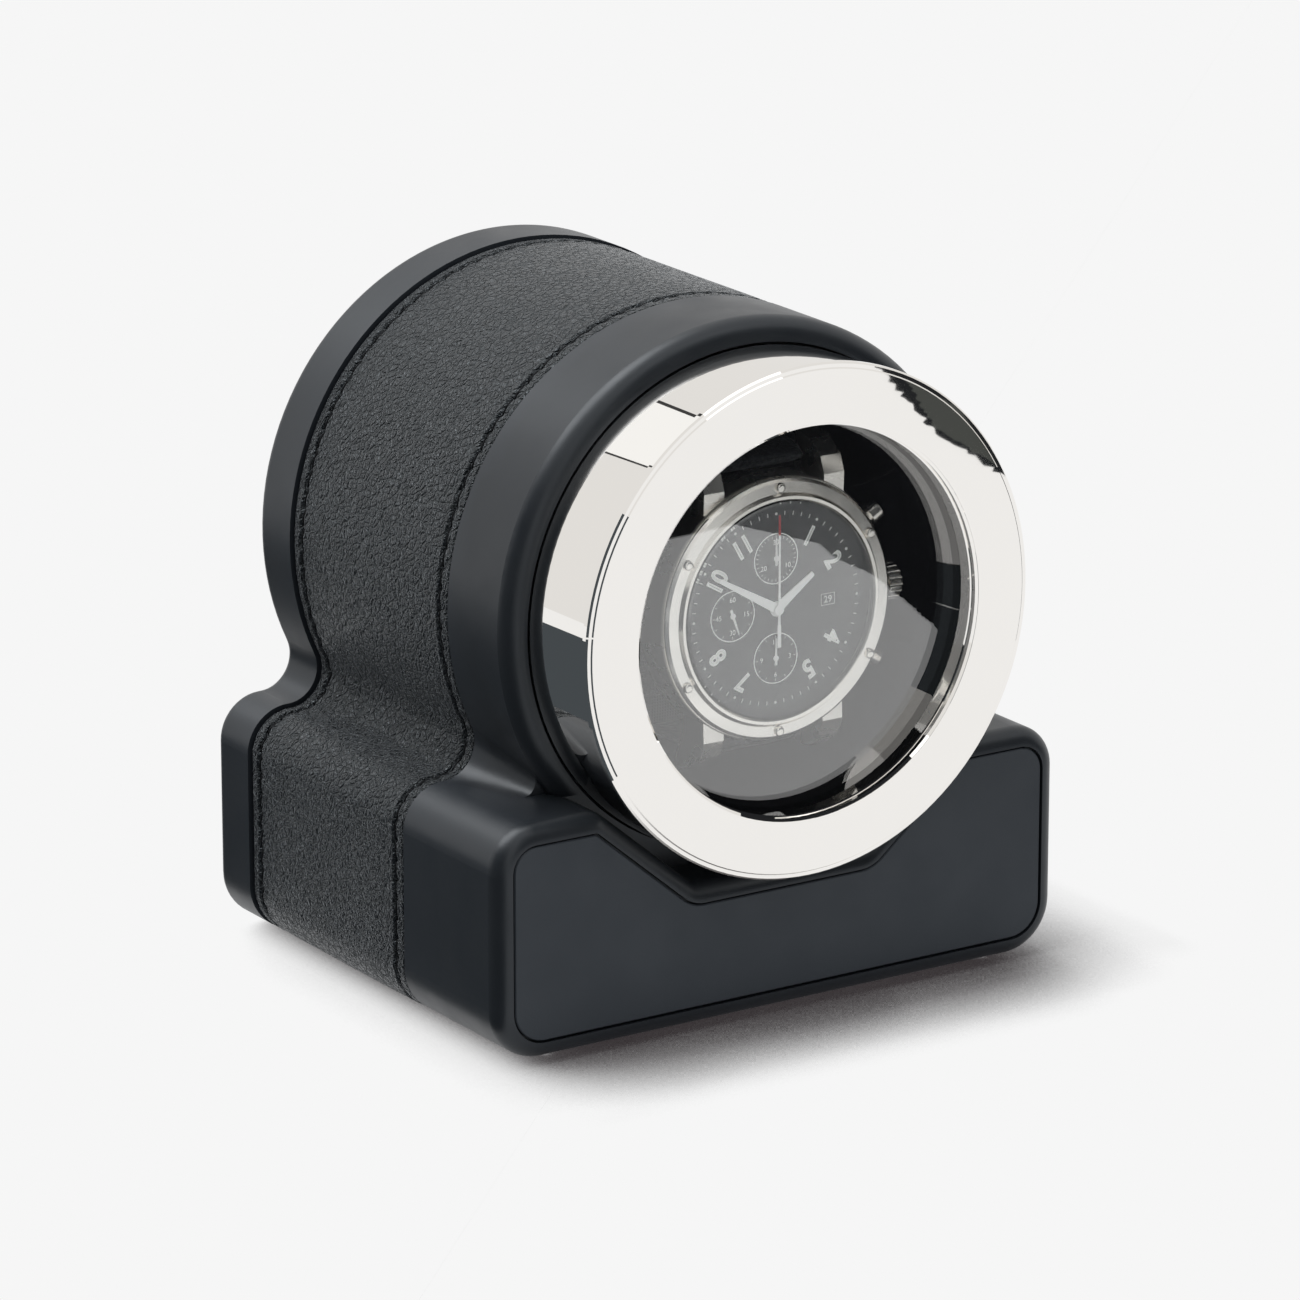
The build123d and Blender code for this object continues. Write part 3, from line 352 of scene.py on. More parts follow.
NODE_MATERIALS = {
    "soft_touch": ["front_shell", "rear_shell"],
    "soft_panel": ["front_panel"],
    "black_moulding": ["core_frame", "base_plate", "battery_door", "battery_tray", "motor_plate",
                       "cushion_core", "programme_button"],
    "gloss_black": ["rotor_cup", "lens_retainer", "side_pad_left", "side_pad_right"],
    "rubber": ["rubber_feet", "barrel_gasket", "lens_gasket", "lid_seal"],
    "chrome": ["chrome_barrel", "bezel_ring"],
    "steel": ["watch_case", "case_back", "rotor_shaft", "gearbox", "motor"],
    "bright_steel": ["watch_bezel", "bezel_screws", "watch_crown", "pusher_upper", "pusher_lower",
                     "strap_buckle", "battery_contacts", "shaft_clip", "cushion_springs"],
    "dark_steel": ["housing_screws", "small_screws", "hub_screw"],
    "brass": ["motor_pinion"],
    "bronze": ["shaft_bearings"],
    "lens_glass": ["lens"],
    "crystal_glass": ["watch_crystal"],
    "light_pipe": ["status_light"],
    "acetal": ["rotor_gear"],
    "circuit_green": ["circuit_board"],
    "component_black": ["board_parts", "power_jack", "switch_body", "mode_switch"],
    "cell_jacket": ["batteries"],
    "dial": ["watch_dial"],
    "white_hand": ["hour_hand", "minute_hand", "sweep_hand", "seconds_small_hand", "minutes_small_hand",
                   "hours_small_hand"],
}


def finish_nodes():
    """Gives every CAD node that shows its material."""
    for material, names in NODE_MATERIALS.items():
        for name in names:
            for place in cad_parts[name].material_slots:
                place.material = MATERIALS[material]


# ---- mesh helpers -------------------------------------------------------------------------------
def make_object(name, verts, faces, material, smooth=True):
    """A mesh object from points and faces."""
    mesh = bpy.data.meshes.new(name)
    mesh.from_pydata(verts, [], faces)
    mesh.validate()
    mesh.polygons.foreach_set("use_smooth", [smooth] * len(mesh.polygons))
    made = bpy.data.objects.new(name, mesh)
    scene.collection.objects.link(made)
    mesh.materials.append(MATERIALS[material])
    return made


def grid_faces(rows, columns, close_rows=False, close_columns=False):
    """Quads over a grid of points held row by row."""
    faces = []
    for r in range(rows if close_rows else rows - 1):
        for c in range(columns if close_columns else columns - 1):
            r2 = (r + 1) % rows
            c2 = (c + 1) % columns
            faces.append((r * columns + c, r * columns + c2, r2 * columns + c2, r2 * columns + c))
    return faces


def closed_tube_faces(rings, sides):
    """Faces of a tube made of rings of points, with both ends shut."""
    faces = grid_faces(rings, sides, close_columns=True)
    faces.append(tuple(reversed(range(sides))))
    faces.append(tuple((rings - 1) * sides + k for k in range(sides)))
    return faces


def slab_faces(corners):
    """Faces of a thin slab: its front points, then its back points, then the sides between them."""
    faces = [tuple(range(corners)), tuple(reversed(range(corners, 2 * corners)))]
    for k in range(corners):
        following = (k + 1) % corners
        faces.append((k, k + corners, following + corners, following))
    return faces


def smooth_step(x):
    """Rises from 0 to 1 with soft ends."""
    x = min(max(x, 0.0), 1.0)
    return x * x * (3 - 2 * x)


# ---- outline that the leather follows -----------------------------------------------------------
def arc(centre, radius, start, end):
    """A piece of the outline: an arc with its centre (x, z), turning from start to end in degrees."""
    return {"centre": centre, "radius": radius, "start": radians(start), "end": radians(end),
            "length": abs(radians(end - start)) * radius}


def line(a, b):
    """A straight piece of the outline between two points (x, z)."""
    return {"a": a, "b": b, "length": hypot(b[0] - a[0], b[1] - a[1])}


def half_outline():
    """The right half of the drum and foot, from under the foot to the top of the drum."""
    neck_z = SHELF_Z + NECK_RADIUS
    neck_x = sqrt((DRUM_RADIUS + NECK_RADIUS) ** 2 - (AXIS_Z - neck_z) ** 2)
    lean = degrees(asin((AXIS_Z - neck_z) / (DRUM_RADIUS + NECK_RADIUS)))
    side_low = FOOT_BOTTOM + BOTTOM_RADIUS
    side_high = SHELF_Z - SHOULDER_RADIUS
    return [
        line((PLATE_HALF, FOOT_BOTTOM), (FOOT_HALF - BOTTOM_RADIUS, FOOT_BOTTOM)),
        arc((FOOT_HALF - BOTTOM_RADIUS, side_low), BOTTOM_RADIUS, -90, 0),
        line((FOOT_HALF, side_low), (FOOT_HALF, side_high)),
        arc((FOOT_HALF - SHOULDER_RADIUS, side_high), SHOULDER_RADIUS, 0, 90),
        line((FOOT_HALF - SHOULDER_RADIUS, SHELF_Z), (neck_x, SHELF_Z)),
        arc((neck_x, neck_z), NECK_RADIUS, -90, -180 - lean),
        arc((0, AXIS_Z), DRUM_RADIUS, -lean, 90),
    ]


def point_on(pieces, distance):
    """Point and outward normal, as (x, z) pairs, at a distance along the outline."""
    for piece in pieces:
        if distance <= piece["length"] or piece is pieces[-1]:
            share = distance / piece["length"]
            if "centre" in piece:
                angle = piece["start"] + (piece["end"] - piece["start"]) * share
                out = (cos(angle), sin(angle))
                point = tuple(piece["centre"][i] + piece["radius"] * out[i] for i in (0, 1))
                hollow = piece["end"] < piece["start"]
                return point, (-out[0], -out[1]) if hollow else out
            a, b = piece["a"], piece["b"]
            point = tuple(a[i] + (b[i] - a[i]) * share for i in (0, 1))
            return point, ((b[1] - a[1]) / piece["length"], -(b[0] - a[0]) / piece["length"])
        distance -= piece["length"]


OUTLINE = half_outline()
HALF_LENGTH = sum(piece["length"] for piece in OUTLINE)
FULL_LENGTH = 2 * HALF_LENGTH
NECK_PIECE = 5
NECK_AT = sum(piece["length"] for piece in OUTLINE[:NECK_PIECE]) + OUTLINE[NECK_PIECE]["length"] / 2


def around_outline(s):
    """Point and normal at s, counted along the whole outline from the lower left to the lower right."""
    if s <= HALF_LENGTH:
        point, out = point_on(OUTLINE, s)
        return (-point[0], point[1]), (-out[0], out[1])
    return point_on(OUTLINE, FULL_LENGTH - s)


# ---- leather band and its stitches --------------------------------------------------------------
STITCH_PITCH = 3.35 * MM
STITCH_INSET = 2.8 * MM
STITCH_LEAN = 0.20 * MM
STITCH_FRONT = BAND_FRONT + STITCH_INSET
STITCH_REAR = BAND_REAR - STITCH_INSET
STITCH_COUNT = int(FULL_LENGTH / STITCH_PITCH)
STITCH_START = (FULL_LENGTH - (STITCH_COUNT - 1) * STITCH_PITCH) / 2
SEAMS = ((STITCH_FRONT, 1), (STITCH_REAR, -1))      # place across the band, and which way its stitches lean
TURNED_EDGE = 0.30 * MM         # how high the leather stands once it is past its turned edge
EDGE_ROLL = 0.7 * MM            # width of that turned edge
GROOVE_DEPTH = 0.72 * MM
GROOVE_HALF_WIDTH = 0.85 * MM
PUCKER_HEIGHT = 0.24 * MM
PUCKER_REACH = 2.0 * MM
SEAM_REACH = 2.4 * MM           # beyond this a seam leaves the leather alone
FULLNESS = 0.10 * MM            # swell and slow waves of the leather between the seams
FULL_FROM = 2.5 * MM            # where the swell begins, counted from the band's edge
FULL_OVER = 7.0 * MM            # and the width over which it rises
CREASE_HEIGHT = 0.26 * MM
CREASE_REACH = 13.0 * MM        # how far the neck's creases run along the outline


def leather_height(s, y):
    """How far the leather stands above its nominal surface, at s along the outline."""
    edge = min(y - BAND_FRONT, BAND_REAR - y)
    height = TURNED_EDGE * smooth_step(edge / EDGE_ROLL)
    phase = (s - STITCH_START) / STITCH_PITCH
    for seam, turn in SEAMS:
        if abs(y - seam) > SEAM_REACH:
            continue
        off = abs(y - seam - turn * STITCH_LEAN * (2 * (phase % 1.0) - 1))
        between = 0.5 - 0.5 * cos(2 * pi * phase)
        groove = 1 - smooth_step(off / GROOVE_HALF_WIDTH)
        pucker = (1 - smooth_step(off / PUCKER_REACH)) * (1 - groove)
        height += PUCKER_HEIGHT * pucker * between - GROOVE_DEPTH * groove * (1 - 0.45 * between)
    middle = smooth_step((edge - FULL_FROM) / FULL_OVER)
    height += FULLNESS * middle
    height += FULLNESS * middle * noise.noise(Vector((s * 55, y * 55, 3.0)))
    from_neck = min(abs(s - NECK_AT), abs(FULL_LENGTH - NECK_AT - s))
    crease = 1 - smooth_step(from_neck / CREASE_REACH)
    if crease > 0 and edge > 1.0 * MM:
        ripple = noise.noise(Vector((s * 480, y * 75, 9.0)))
        ripple += 0.5 * noise.noise(Vector((s * 900, y * 160, 2.0)))
        height += CREASE_HEIGHT * crease * ripple
    return height


def even_steps(start, end, step):
    """Places from start up to, and without, end."""
    count = max(1, round((end - start) / step))
    return [start + (end - start) * k / count for k in range(count)]


def leather_lanes():
    """Places across the band: close together at the edges and seams, wider between them."""
    fine = 0.16 * MM
    coarse = 0.5 * MM
    near = STITCH_INSET + 1.3 * MM
    lanes = even_steps(BAND_FRONT, BAND_FRONT + near, fine)
    lanes += even_steps(BAND_FRONT + near, BAND_REAR - near, coarse)
    lanes += even_steps(BAND_REAR - near, BAND_REAR, fine)
    return lanes + [BAND_REAR]


def leather_cover():
    """The sewn leather round the core, with turned edges, puckers at each stitch and creases at the neck."""
    lanes = leather_lanes()
    places = even_steps(0, FULL_LENGTH, 0.42 * MM) + [FULL_LENGTH]
    inner = 1.1 * MM            # how far the hidden face lies below the nominal surface
    verts = []
    for s in places:
        (x, z), (nx, nz) = around_outline(s)
        for y in lanes:
            height = leather_height(s, y)
            verts.append((x + nx * height, y, z + nz * height))
        verts.append((x - nx * inner, BAND_REAR, z - nz * inner))
        verts.append((x - nx * inner, BAND_FRONT, z - nz * inner))
    faces = [tuple(reversed(face)) for face in closed_tube_faces(len(places), len(lanes) + 2)]
    cover = make_object("leather_cover", verts, faces, "leather")
    for polygon in cover.data.polygons:
        if len(polygon.vertices) > 4:
            polygon.use_smooth = False
    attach(cover, "housing")
    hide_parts("leather_band")


def tube_along(points, radii):
    """Points and faces of a closed tube along a line, with a radius at each of the line's points."""
    sides = 8
    verts = []
    for i, point in enumerate(points):
        ahead = points[min(i + 1, len(points) - 1)]
        behind = points[max(i - 1, 0)]
        heading = (ahead - behind).normalized()
        side = heading.orthogonal().normalized()
        up = heading.cross(side)
        for k in range(sides):
            a = 2 * pi * k / sides
            verts.append(point + (side * cos(a) + up * sin(a)) * radii[i])
    return verts, closed_tube_faces(len(points), sides)


def join_parts(parts):
    """One list of points and faces from several."""
    verts = []
    faces = []
    for part_verts, part_faces in parts:
        offset = len(verts)
        verts += part_verts
        faces += [tuple(offset + i for i in face) for face in part_faces]
    return verts, faces


def band_stitches():
    """Two seams of waxed thread. Each stitch leans a little and dives into its holes."""
    thread_radius = 0.26 * MM
    top = 0.02 * MM             # height of a stitch's middle over the nominal surface
    dive = 0.42 * MM
    steps = 6
    parts = []
    for seam, turn in SEAMS:
        for k in range(STITCH_COUNT - 1):
            points = []
            radii = []
            for n in range(steps + 1):
                share = 0.08 + 0.84 * n / steps
                arch = 4 * share * (1 - share)
                (x, z), (nx, nz) = around_outline(STITCH_START + (k + share) * STITCH_PITCH)
                height = top - dive * (1 - arch ** 0.6)
                y = seam + turn * STITCH_LEAN * (2 * share - 1)
                points.append(Vector((x + nx * height, y, z + nz * height)))
                radii.append(thread_radius * (0.62 + 0.38 * arch ** 0.5))
            parts.append(tube_along(points, radii))
    stitches = make_object("band_stitches", *join_parts(parts), "thread")
    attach(stitches, "housing")


# ---- cushion and strap --------------------------------------------------------------------------
def cushion_body():
    """A foam block in a cloth cover, blown up by cloth simulation so that its faces crown."""
    room = Vector((1.6, 1.2, 1.2)) * MM         # space left for the cloth to swell into
    half_sizes = (CUSHION_HIGH - CUSHION_LOW) / 2 - room
    middle = (CUSHION_LOW + CUSHION_HIGH) / 2
    mesh = bpy.data.meshes.new("cushion_cover")
    bm = bmesh.new()
    bmesh.ops.create_cube(bm, size=2)
    bmesh.ops.scale(bm, vec=half_sizes, verts=bm.verts)
    bmesh.ops.translate(bm, vec=middle, verts=bm.verts)
    bmesh.ops.bevel(bm, geom=bm.edges[:], offset=7.5 * MM, segments=6, affect="EDGES")
    bm.to_mesh(mesh)
    bm.free()
    cover = bpy.data.objects.new("cushion_cover", mesh)
    scene.collection.objects.link(cover)
    bpy.context.view_layer.objects.active = cover
    remesh = cover.modifiers.new("even", "REMESH")
    remesh.mode = "VOXEL"
    remesh.voxel_size = 1.1 * MM
    apply_modifiers(cover)
    start = [v.co.copy() for v in cover.data.vertices]
    swell(cover, pressure=4.0, frames=14)
    furthest = 1.3 * MM
    for v, rest in zip(cover.data.vertices, start):
        move = v.co - rest
        if move.length > furthest:
            move *= furthest / move.length
        v.co = rest + move
    cover.data.polygons.foreach_set("use_smooth", [True] * len(cover.data.polygons))
    cover.data.materials.append(MATERIALS["cushion_cloth"])
    hold_to_box(cover, CUSHION_LOW, CUSHION_HIGH)
    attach(cover, "watch_holder")
    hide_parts("cushion")


def apply_modifiers(obj):
    """Bakes the object's modifiers into its mesh."""
    evaluated = obj.evaluated_get(bpy.context.evaluated_depsgraph_get())
    mesh = bpy.data.meshes.new_from_object(evaluated)
    obj.modifiers.clear()
    obj.data = mesh


def swell(obj, pressure, frames):
    """Blows the closed mesh up as cloth for some frames and keeps the result."""
    cloth = obj.modifiers.new("swell", "CLOTH")
    cloth.settings.quality = 5
    cloth.settings.mass = 0.2
    cloth.settings.tension_stiffness = 25
    cloth.settings.compression_stiffness = 25
    cloth.settings.bending_stiffness = 2.0
    cloth.settings.use_pressure = True
    cloth.settings.uniform_pressure_force = pressure
    cloth.settings.effector_weights.gravity = 0
    cloth.point_cache.frame_start = 1
    cloth.point_cache.frame_end = frames
    for number in range(1, frames + 1):
        scene.frame_set(number)
    apply_modifiers(obj)
    scene.frame_set(1)


def hold_to_box(obj, low, high):
    """Keeps every point of a mesh inside a box."""
    for v in obj.data.vertices:
        v.co = Vector([min(max(v.co[i], low[i]), high[i]) for i in range(3)])


def strap_route():
    """The strap's centre line, from the upper lugs round behind the cushion to the lower lugs."""
    out = 0.3 * MM + STRAP_THICK / 2
    low_y = CUSHION_LOW.y - out
    high_y = CUSHION_HIGH.y + out
    half = (CUSHION_HIGH.z - CUSHION_LOW.z) / 2 + out
    corner = 9.0 * MM + out
    centre = (CUSHION_LOW.z + CUSHION_HIGH.z) / 2
    lug_y = CASE_REAR_Y - 2.4 * MM
    points = [(lug_y - 1.4 * MM, centre + 23.0 * MM), (lug_y + 0.6 * MM, centre + 24.6 * MM),
              (low_y + 5.5 * MM, centre + half - 0.6 * MM)]
    steps = 8
    for k in range(steps + 1):
        a = radians(90 - 90 * k / steps)
        points.append((high_y - corner + corner * cos(a), centre + half - corner + corner * sin(a)))
    upper = [Vector((0, y, z)) for y, z in points]
    lower = [Vector((0, p.y, 2 * centre - p.z)) for p in reversed(upper)]
    return upper + lower


def resample(points, step):
    """Points at an even step along a broken line, smoothed a little."""
    rounds = 6
    dense = []
    for a, b in zip(points, points[1:]):
        count = max(1, round((b - a).length / step))
        dense += [a.lerp(b, k / count) for k in range(count)]
    dense.append(points[-1])
    for _ in range(rounds):
        middle = [(dense[i - 1] + dense[i] * 2 + dense[i + 1]) / 4 for i in range(1, len(dense) - 1)]
        dense = [dense[0]] + middle + [dense[-1]]
    return dense


def padded_strap():
    """The watch's strap: padded by its lugs, thinner behind, with rounded edges."""
    route = resample(strap_route(), 0.7 * MM)
    last = len(route) - 1
    sides = 28
    half_width = STRAP_HALF - 0.1 * MM
    verts = []
    for i, point in enumerate(route):
        ahead = route[min(i + 1, last)]
        behind = route[max(i - 1, 0)]
        heading = (ahead - behind).normalized()
        out = Vector((1, 0, 0)).cross(heading)
        from_end = min(i, last - i) / last
        padding = 1 - smooth_step(from_end / 0.22)
        half_thick = (0.85 + 0.32 * padding) * MM
        taper = 1 - 0.10 * smooth_step(from_end / 0.4)
        for k in range(sides):
            a = 2 * pi * k / sides
            across = abs(cos(a)) ** 0.35 * (1 if cos(a) > 0 else -1)
            bulge = abs(sin(a)) ** 0.75 * (1 if sin(a) > 0 else -1)
            verts.append(point + Vector((across * half_width * taper, 0, 0)) - out * bulge * half_thick)
    strap = make_object("padded_strap", verts, closed_tube_faces(len(route), sides), "strap_leather")
    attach(strap, "watch_holder")
    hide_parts("watch_strap")


# ---- dial ---------------------------------------------------------------------------------------
PRINT_THICK = 0.03 * MM
TRACK_INNER = 15.55 * MM
TRACK_OUTER = 16.25 * MM
HOUR_RADIUS = 13.0 * MM
DATE_X = 10.2 * MM
DATE_HALF_WIDTH = 1.3 * MM
DATE_HALF_HEIGHT = 0.95 * MM
HAIRLINE = 0.05 * MM            # half the width of the lines round the date


def on_dial(radius, clock_degrees, centre=(0.0, 0.0)):
    """X and Z of a point on the dial, counted clockwise from twelve."""
    a = radians(clock_degrees)
    return centre[0] + radius * sin(a), AXIS_Z + centre[1] + radius * cos(a)


def flat_ring(inner, outer, centre):
    """A thin printed ring."""
    steps = 72
    verts = []
    for k in range(steps):
        for radius, y in ((inner, 0), (outer, 0), (outer, -PRINT_THICK), (inner, -PRINT_THICK)):
            x, z = on_dial(radius, 360 * k / steps, centre)
            verts.append((x, DIAL_Y + y, z))
    return verts, grid_faces(steps, 4, close_rows=True, close_columns=True)


def printed_bar(inner, outer, width, clock_degrees, centre=(0.0, 0.0)):
    """A short printed line pointing at the centre."""
    a = radians(clock_degrees)
    side = (cos(a) * width / 2, -sin(a) * width / 2)
    verts = []
    for y in (0, -PRINT_THICK):
        for radius, flip in ((inner, -1), (inner, 1), (outer, 1), (outer, -1)):
            x, z = on_dial(radius, clock_degrees, centre)
            verts.append((x + flip * side[0], DIAL_Y + y, z + flip * side[1]))
    return verts, slab_faces(4)


def printed_dot(radius, distance, clock_degrees):
    """A round printed spot."""
    steps = 14
    x0, z0 = on_dial(distance, clock_degrees)
    verts = []
    for y in (0, -PRINT_THICK):
        for k in range(steps):
            a = 2 * pi * k / steps
            verts.append((x0 + radius * cos(a), DIAL_Y + y, z0 + radius * sin(a)))
    return verts, slab_faces(steps)


def numeral(text, height, distance, clock_degrees, turn, centre=(0.0, 0.0), outline=0.0, squeeze=1.0):
    """A number lying on the dial. With an outline it is drawn as a thin line round each figure."""
    curve = bpy.data.curves.new("numeral", "FONT")
    curve.body = text
    curve.size = 1.0
    curve.align_x = "CENTER"
    curve.align_y = "CENTER"
    if outline:
        curve.fill_mode = "NONE"
        curve.bevel_depth = outline / height
        curve.bevel_resolution = 1
    else:
        curve.extrude = 0.01
    carrier = bpy.data.objects.new("numeral", curve)
    scene.collection.objects.link(carrier)
    mesh = bpy.data.meshes.new_from_object(carrier.evaluated_get(bpy.context.evaluated_depsgraph_get()))
    low = min(v.co.y for v in mesh.vertices)
    tall = max(v.co.y for v in mesh.vertices) - low
    widths = [v.co.x for v in mesh.vertices]
    middle_x = (min(widths) + max(widths)) / 2
    size = height / tall
    flatness = 0.5
    x0, z0 = on_dial(distance, clock_degrees, centre)
    a = radians(turn)
    verts = []
    for v in mesh.vertices:
        right = (v.co.x - middle_x) * size * squeeze
        up = (v.co.y - low - tall / 2) * size
        x = x0 + right * cos(a) + up * sin(a)
        z = z0 - right * sin(a) + up * cos(a)
        verts.append((x, DIAL_Y - PRINT_THICK / 2 - v.co.z * size * flatness, z))
    faces = [tuple(p.vertices) for p in mesh.polygons]
    bpy.data.objects.remove(carrier)
    bpy.data.meshes.remove(mesh)
    return verts, faces


def printed_box(x0, x1, z0, z1):
    """A thin printed rectangle, with heights counted from the middle of the dial."""
    corners = ((x0, z0), (x1, z0), (x1, z1), (x0, z1))
    verts = [(x, DIAL_Y + y, AXIS_Z + z) for y in (0, -PRINT_THICK) for x, z in corners]
    return verts, slab_faces(4)


def date_frame():
    """The four lines round the date."""
    left = DATE_X - DATE_HALF_WIDTH
    right = DATE_X + DATE_HALF_WIDTH
    reach = DATE_HALF_HEIGHT + HAIRLINE
    lines = []
    for z in (-DATE_HALF_HEIGHT, DATE_HALF_HEIGHT):
        lines.append(printed_box(left, right, z - HAIRLINE, z + HAIRLINE))
    for x in (left, right):
        lines.append(printed_box(x - HAIRLINE, x + HAIRLINE, -reach, reach))
    return lines


def small_scale(centre, divisions, figures):
    """One of the three small dials: its ring, its short lines and its figures."""
    parts = [flat_ring(SUBDIAL_RADIUS - 0.10 * MM, SUBDIAL_RADIUS + 0.08 * MM, centre)]
    inner = SUBDIAL_RADIUS - 0.75 * MM
    outer = SUBDIAL_RADIUS - 0.35 * MM
    for k in range(divisions):
        parts.append(printed_bar(inner, outer, 0.11 * MM, 360 * k / divisions, centre))
    for k, text in enumerate(figures):
        parts.append(numeral(text, 0.85 * MM, SUBDIAL_RADIUS - 1.45 * MM, 360 * k / len(figures), 0, centre))
    return parts


def dial_printing():
    """Minute track, hour figures, the three small scales and the date."""
    parts = []
    for minute in range(60):
        angle = minute * 6
        if minute % 5 == 0:
            parts.append(printed_dot(0.26 * MM, (TRACK_INNER + TRACK_OUTER) / 2, angle))
        else:
            parts.append(printed_bar(TRACK_INNER, TRACK_OUTER, 0.14 * MM, angle))
    for hour in (1, 2, 4, 5, 7, 8, 10, 11):
        angle = hour * 30
        parts.append(numeral(str(hour), 3.5 * MM, HOUR_RADIUS, angle, angle, outline=0.15 * MM,
                             squeeze=0.85))
    parts += small_scale((-SUBDIAL_DISTANCE, 0.0), 12, ("60", "15", "30", "45"))
    parts += small_scale((0.0, SUBDIAL_DISTANCE), 30, ("30", "10", "20"))
    parts += small_scale((0.0, -SUBDIAL_DISTANCE), 12, ("12", "3", "6", "9"))
    parts.append(numeral("29", 1.15 * MM, DATE_X, 90, 0))
    parts += date_frame()
    printing = make_object("dial_printing", *join_parts(parts), "white_print", smooth=False)
    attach(printing, "watch_holder")


def sweep_tip():
    """The red end of the long hand."""
    low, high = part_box("sweep_hand")
    front = low.y - 0.01 * MM
    thick = 0.17 * MM
    bottom = high.z - 3.4 * MM
    wide = 0.19 * MM
    narrow = 0.15 * MM
    corners = ((-wide, bottom), (wide, bottom), (narrow, high.z), (-narrow, high.z))
    verts = [(x, y, z) for y in (front, front + thick) for x, z in corners]
    tip = make_object("sweep_tip", verts, slab_faces(4), "red_print", smooth=False)
    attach(tip, "sweep")


# ---- studio -------------------------------------------------------------------------------------
WALL_GREY = (0.81, 0.80, 0.785)
FLOOR_WHITE = (0.922, 0.922, 0.922)
SHADOW_TONE = (0.022, 0.016, 0.018)
CARD_GREY = (0.062, 0.072, 0.080)
CARD_BLACK = (0.017, 0.018, 0.020)
BLACK = (0.0, 0.0, 0.0)


def flat_panel(name, corners, material):
    """A flat piece of studio furniture between its corners, in millimetres."""
    mesh = bpy.data.meshes.new(name)
    mesh.from_pydata([Vector(corner) * MM for corner in corners], [], [tuple(range(len(corners)))])
    panel = bpy.data.objects.new(name, mesh)
    scene.collection.objects.link(panel)
    mesh.materials.append(material)
    return panel


def glowing(name):
    """A material that only glows, in a colour that is set afterwards."""
    mat, tree, shader = new_material(name)
    shader.inputs["Base Color"].default_value = (*BLACK, 1)
    shader.inputs["Specular IOR Level"].default_value = 0.0
    shader.inputs["Emission Strength"].default_value = 1.0
    return mat, tree, shader


def studio_floor():
    """A seamless pale floor that glows at one brightness, with a warm contact shadow painted on it close to
    the object.
    """
    mat, tree, shader = glowing("studio_floor")
    # Painted shadow: ambient occlusion, leaned back and to the left, darkens the glowing floor's colour
    # towards a warm shadow tone.
    near = node(tree, "ShaderNodeAmbientOcclusion", samples=8)
    near.inputs["Distance"].default_value = 30 * MM
    lean = node(tree, "ShaderNodeCombineXYZ", x=-0.42, y=0.95, z=0.30)
    tree.links.new(lean.outputs["Vector"], near.inputs["Normal"])
    open_share = ramp(tree, near.outputs["AO"], 0.46, 0.84, 0.0, 1.0)
    floor_with_painted_shadow = blend_colours(tree, open_share, SHADOW_TONE, FLOOR_WHITE)
    rays = node(tree, "ShaderNodeLightPath")
    seen = blend_colours(tree, rays.outputs["Is Diffuse Ray"], floor_with_painted_shadow, scaled(FLOOR_WHITE, 0.16))
    tree.links.new(seen, shader.inputs["Emission Color"])
    far = 12000
    flat_panel("studio_floor", [(-far, -far, 0), (far, -far, 0), (far, far, 0), (-far, far, 0)], mat)


def sun(name, towards, strength, spread):
    """Even light from far away; towards is where it comes from."""
    light = bpy.data.lights.new(name, "SUN")
    light.energy = strength
    light.angle = radians(spread)
    lamp = bpy.data.objects.new(name, light)
    lamp.rotation_euler = Vector(towards).to_track_quat("Z", "Y").to_euler()
    scene.collection.objects.link(lamp)


def reflection_card(name, corners, glow):
    """A card of one brightness that only shows in reflections."""
    mat, _, shader = glowing(name)
    shader.inputs["Emission Color"].default_value = (*glow, 1)
    card = flat_panel(name, corners, mat)
    card.visible_camera = False
    card.visible_diffuse = False
    card.visible_shadow = False


def lying_card(name, outline, height, glow):
    """A reflection card lying just above the floor."""
    reflection_card(name, [(x, y, height) for x, y in outline], glow)


def standing_card(name, start, end, low, high, glow):
    """An upright reflection card over a line on the floor."""
    reflection_card(name, [(*start, low), (*end, low), (*end, high), (*start, high)], glow)


def torn_edge(corners, step, tear):
    """The line through these corners, broken into short pieces that stray from it."""
    chance = random.Random(5)
    points = []
    for (x0, y0), (x1, y1) in zip(corners, corners[1:]):
        pieces = max(1, round(hypot(x1 - x0, y1 - y0) / step))
        for k in range(pieces):
            share = k / pieces
            points.append((x0 + (x1 - x0) * share + chance.uniform(-tear, tear), y0 + (y1 - y0) * share))
    return points + [corners[-1]]


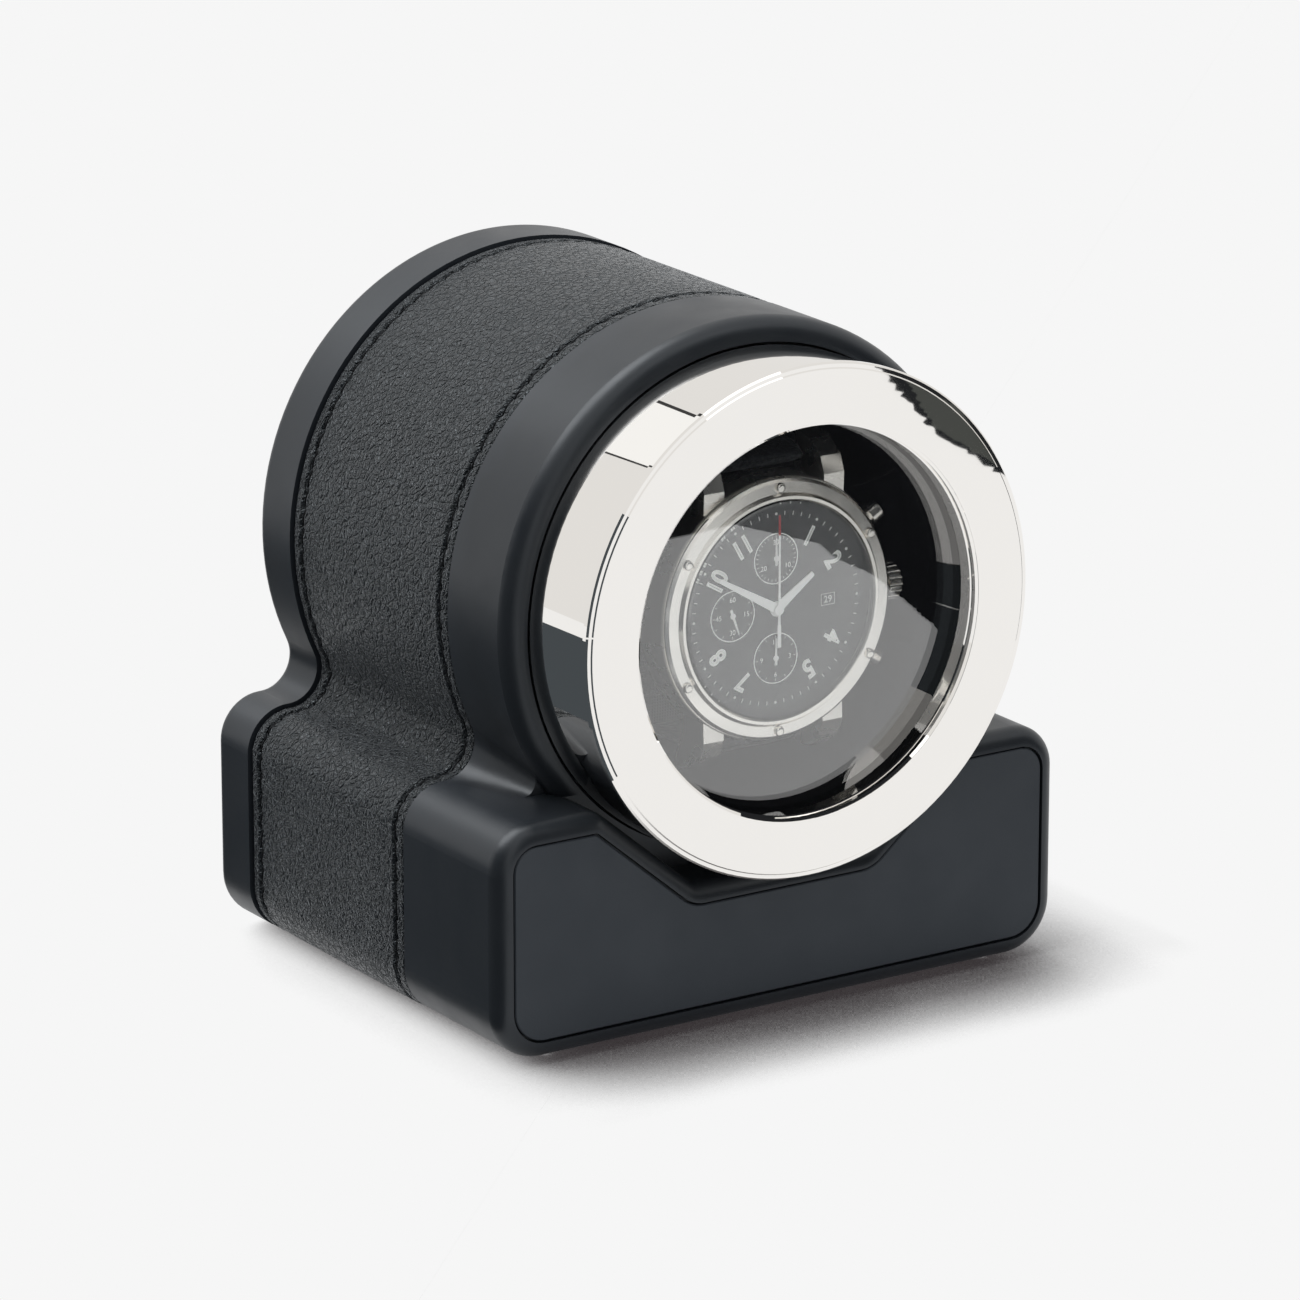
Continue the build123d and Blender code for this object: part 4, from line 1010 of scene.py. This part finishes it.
def reflection_cards():
    """What the chrome, the lens and the satin surfaces mirror. All sizes here are in millimetres."""
    left, right, sill, top = -235, 21, 240, 900
    standing_card("window", (left, 600), (right, 600), sill, top, (0.98, 0.98, 0.97))
    standing_card("window_frame", (left - 8, 604), (right + 15, 604), sill, top, (0.05, 0.05, 0.05))
    standing_card("skirting", (-1110, -80), (360, 950), 0, 95, WALL_GREY)
    lying_card("dark_left", [(-420, 128), (-60, 380), (-58, -44), (-120, -260), (-420, -420)], 2, CARD_GREY)
    standing_card("left_flag", (-430, -600), (-430, 128), 5, 400, CARD_GREY)
    bend = (232, -340)
    edge = [(150, -115), (214, -265), bend, (262, -412), (292, -690)]
    lying_card("dark_right", torn_edge(edge, 2.5, 0.9) + [(1400, -690), (1400, -115)], 2, CARD_BLACK)
    strip = [(224, -306), bend, (250, -376), (246, -350)]
    lying_card("grey_strip", torn_edge(strip, 2.0, 0.6), 3, (0.066, 0.070, 0.066))
    standing_card("dark_front", (-60, -705), (1500, -705), 0, 900, CARD_BLACK)


def studio_lights():
    """A soft sun from above and behind, a weak front fill, and a room brighter above than at eye level."""
    world = bpy.data.worlds.new("studio")
    scene.world = world
    world.use_nodes = True
    tree = world.node_tree
    direction = node(tree, "ShaderNodeTexCoord")
    parts = node(tree, "ShaderNodeSeparateXYZ")
    tree.links.new(direction.outputs["Generated"], parts.inputs["Vector"])
    height = ramp(tree, parts.outputs["Z"], 0.05, 0.8, 0.0, 1.0)
    room = blend_colours(tree, height, (0.09, 0.09, 0.095), (0.85, 0.85, 0.85))
    rays = node(tree, "ShaderNodeLightPath")
    seen = blend_colours(tree, rays.outputs["Is Glossy Ray"], room, WALL_GREY)
    tree.links.new(seen, tree.nodes["Background"].inputs["Color"])
    tree.nodes["Background"].inputs["Strength"].default_value = 1.0
    sun("key", (-0.30, 0.42, 1.0), 2.4, 50)
    sun("front_fill", (0.35, -1.0, 0.8), 0.5, 60)


def studio_camera():
    """A long lens, looking down a little from the front left."""
    azimuth = radians(-33.143)
    elevation = radians(16.73)
    distance = 1.1773
    target = Vector((3.159 * MM, 3.9 * MM, 50.6 * MM))
    back = Vector((sin(azimuth) * cos(elevation), -cos(azimuth) * cos(elevation), sin(elevation)))
    data = bpy.data.cameras.new("camera")
    data.lens = 193.87
    data.sensor_width = 36.0
    data.clip_start = 0.05
    data.clip_end = 30.0
    camera = bpy.data.objects.new("camera", data)
    camera.location = target + back * distance
    camera.rotation_euler = (-back).to_track_quat("-Z", "Y").to_euler()
    scene.collection.objects.link(camera)
    scene.camera = camera


# ---- everything ---------------------------------------------------------------------------------
studio_camera()
studio_floor()
studio_lights()
reflection_cards()
scene.view_settings.view_transform = "Standard"
finish_nodes()
leather_cover()
band_stitches()
cushion_body()
padded_strap()
dial_printing()
sweep_tip()

bpy.context.view_layer.update()
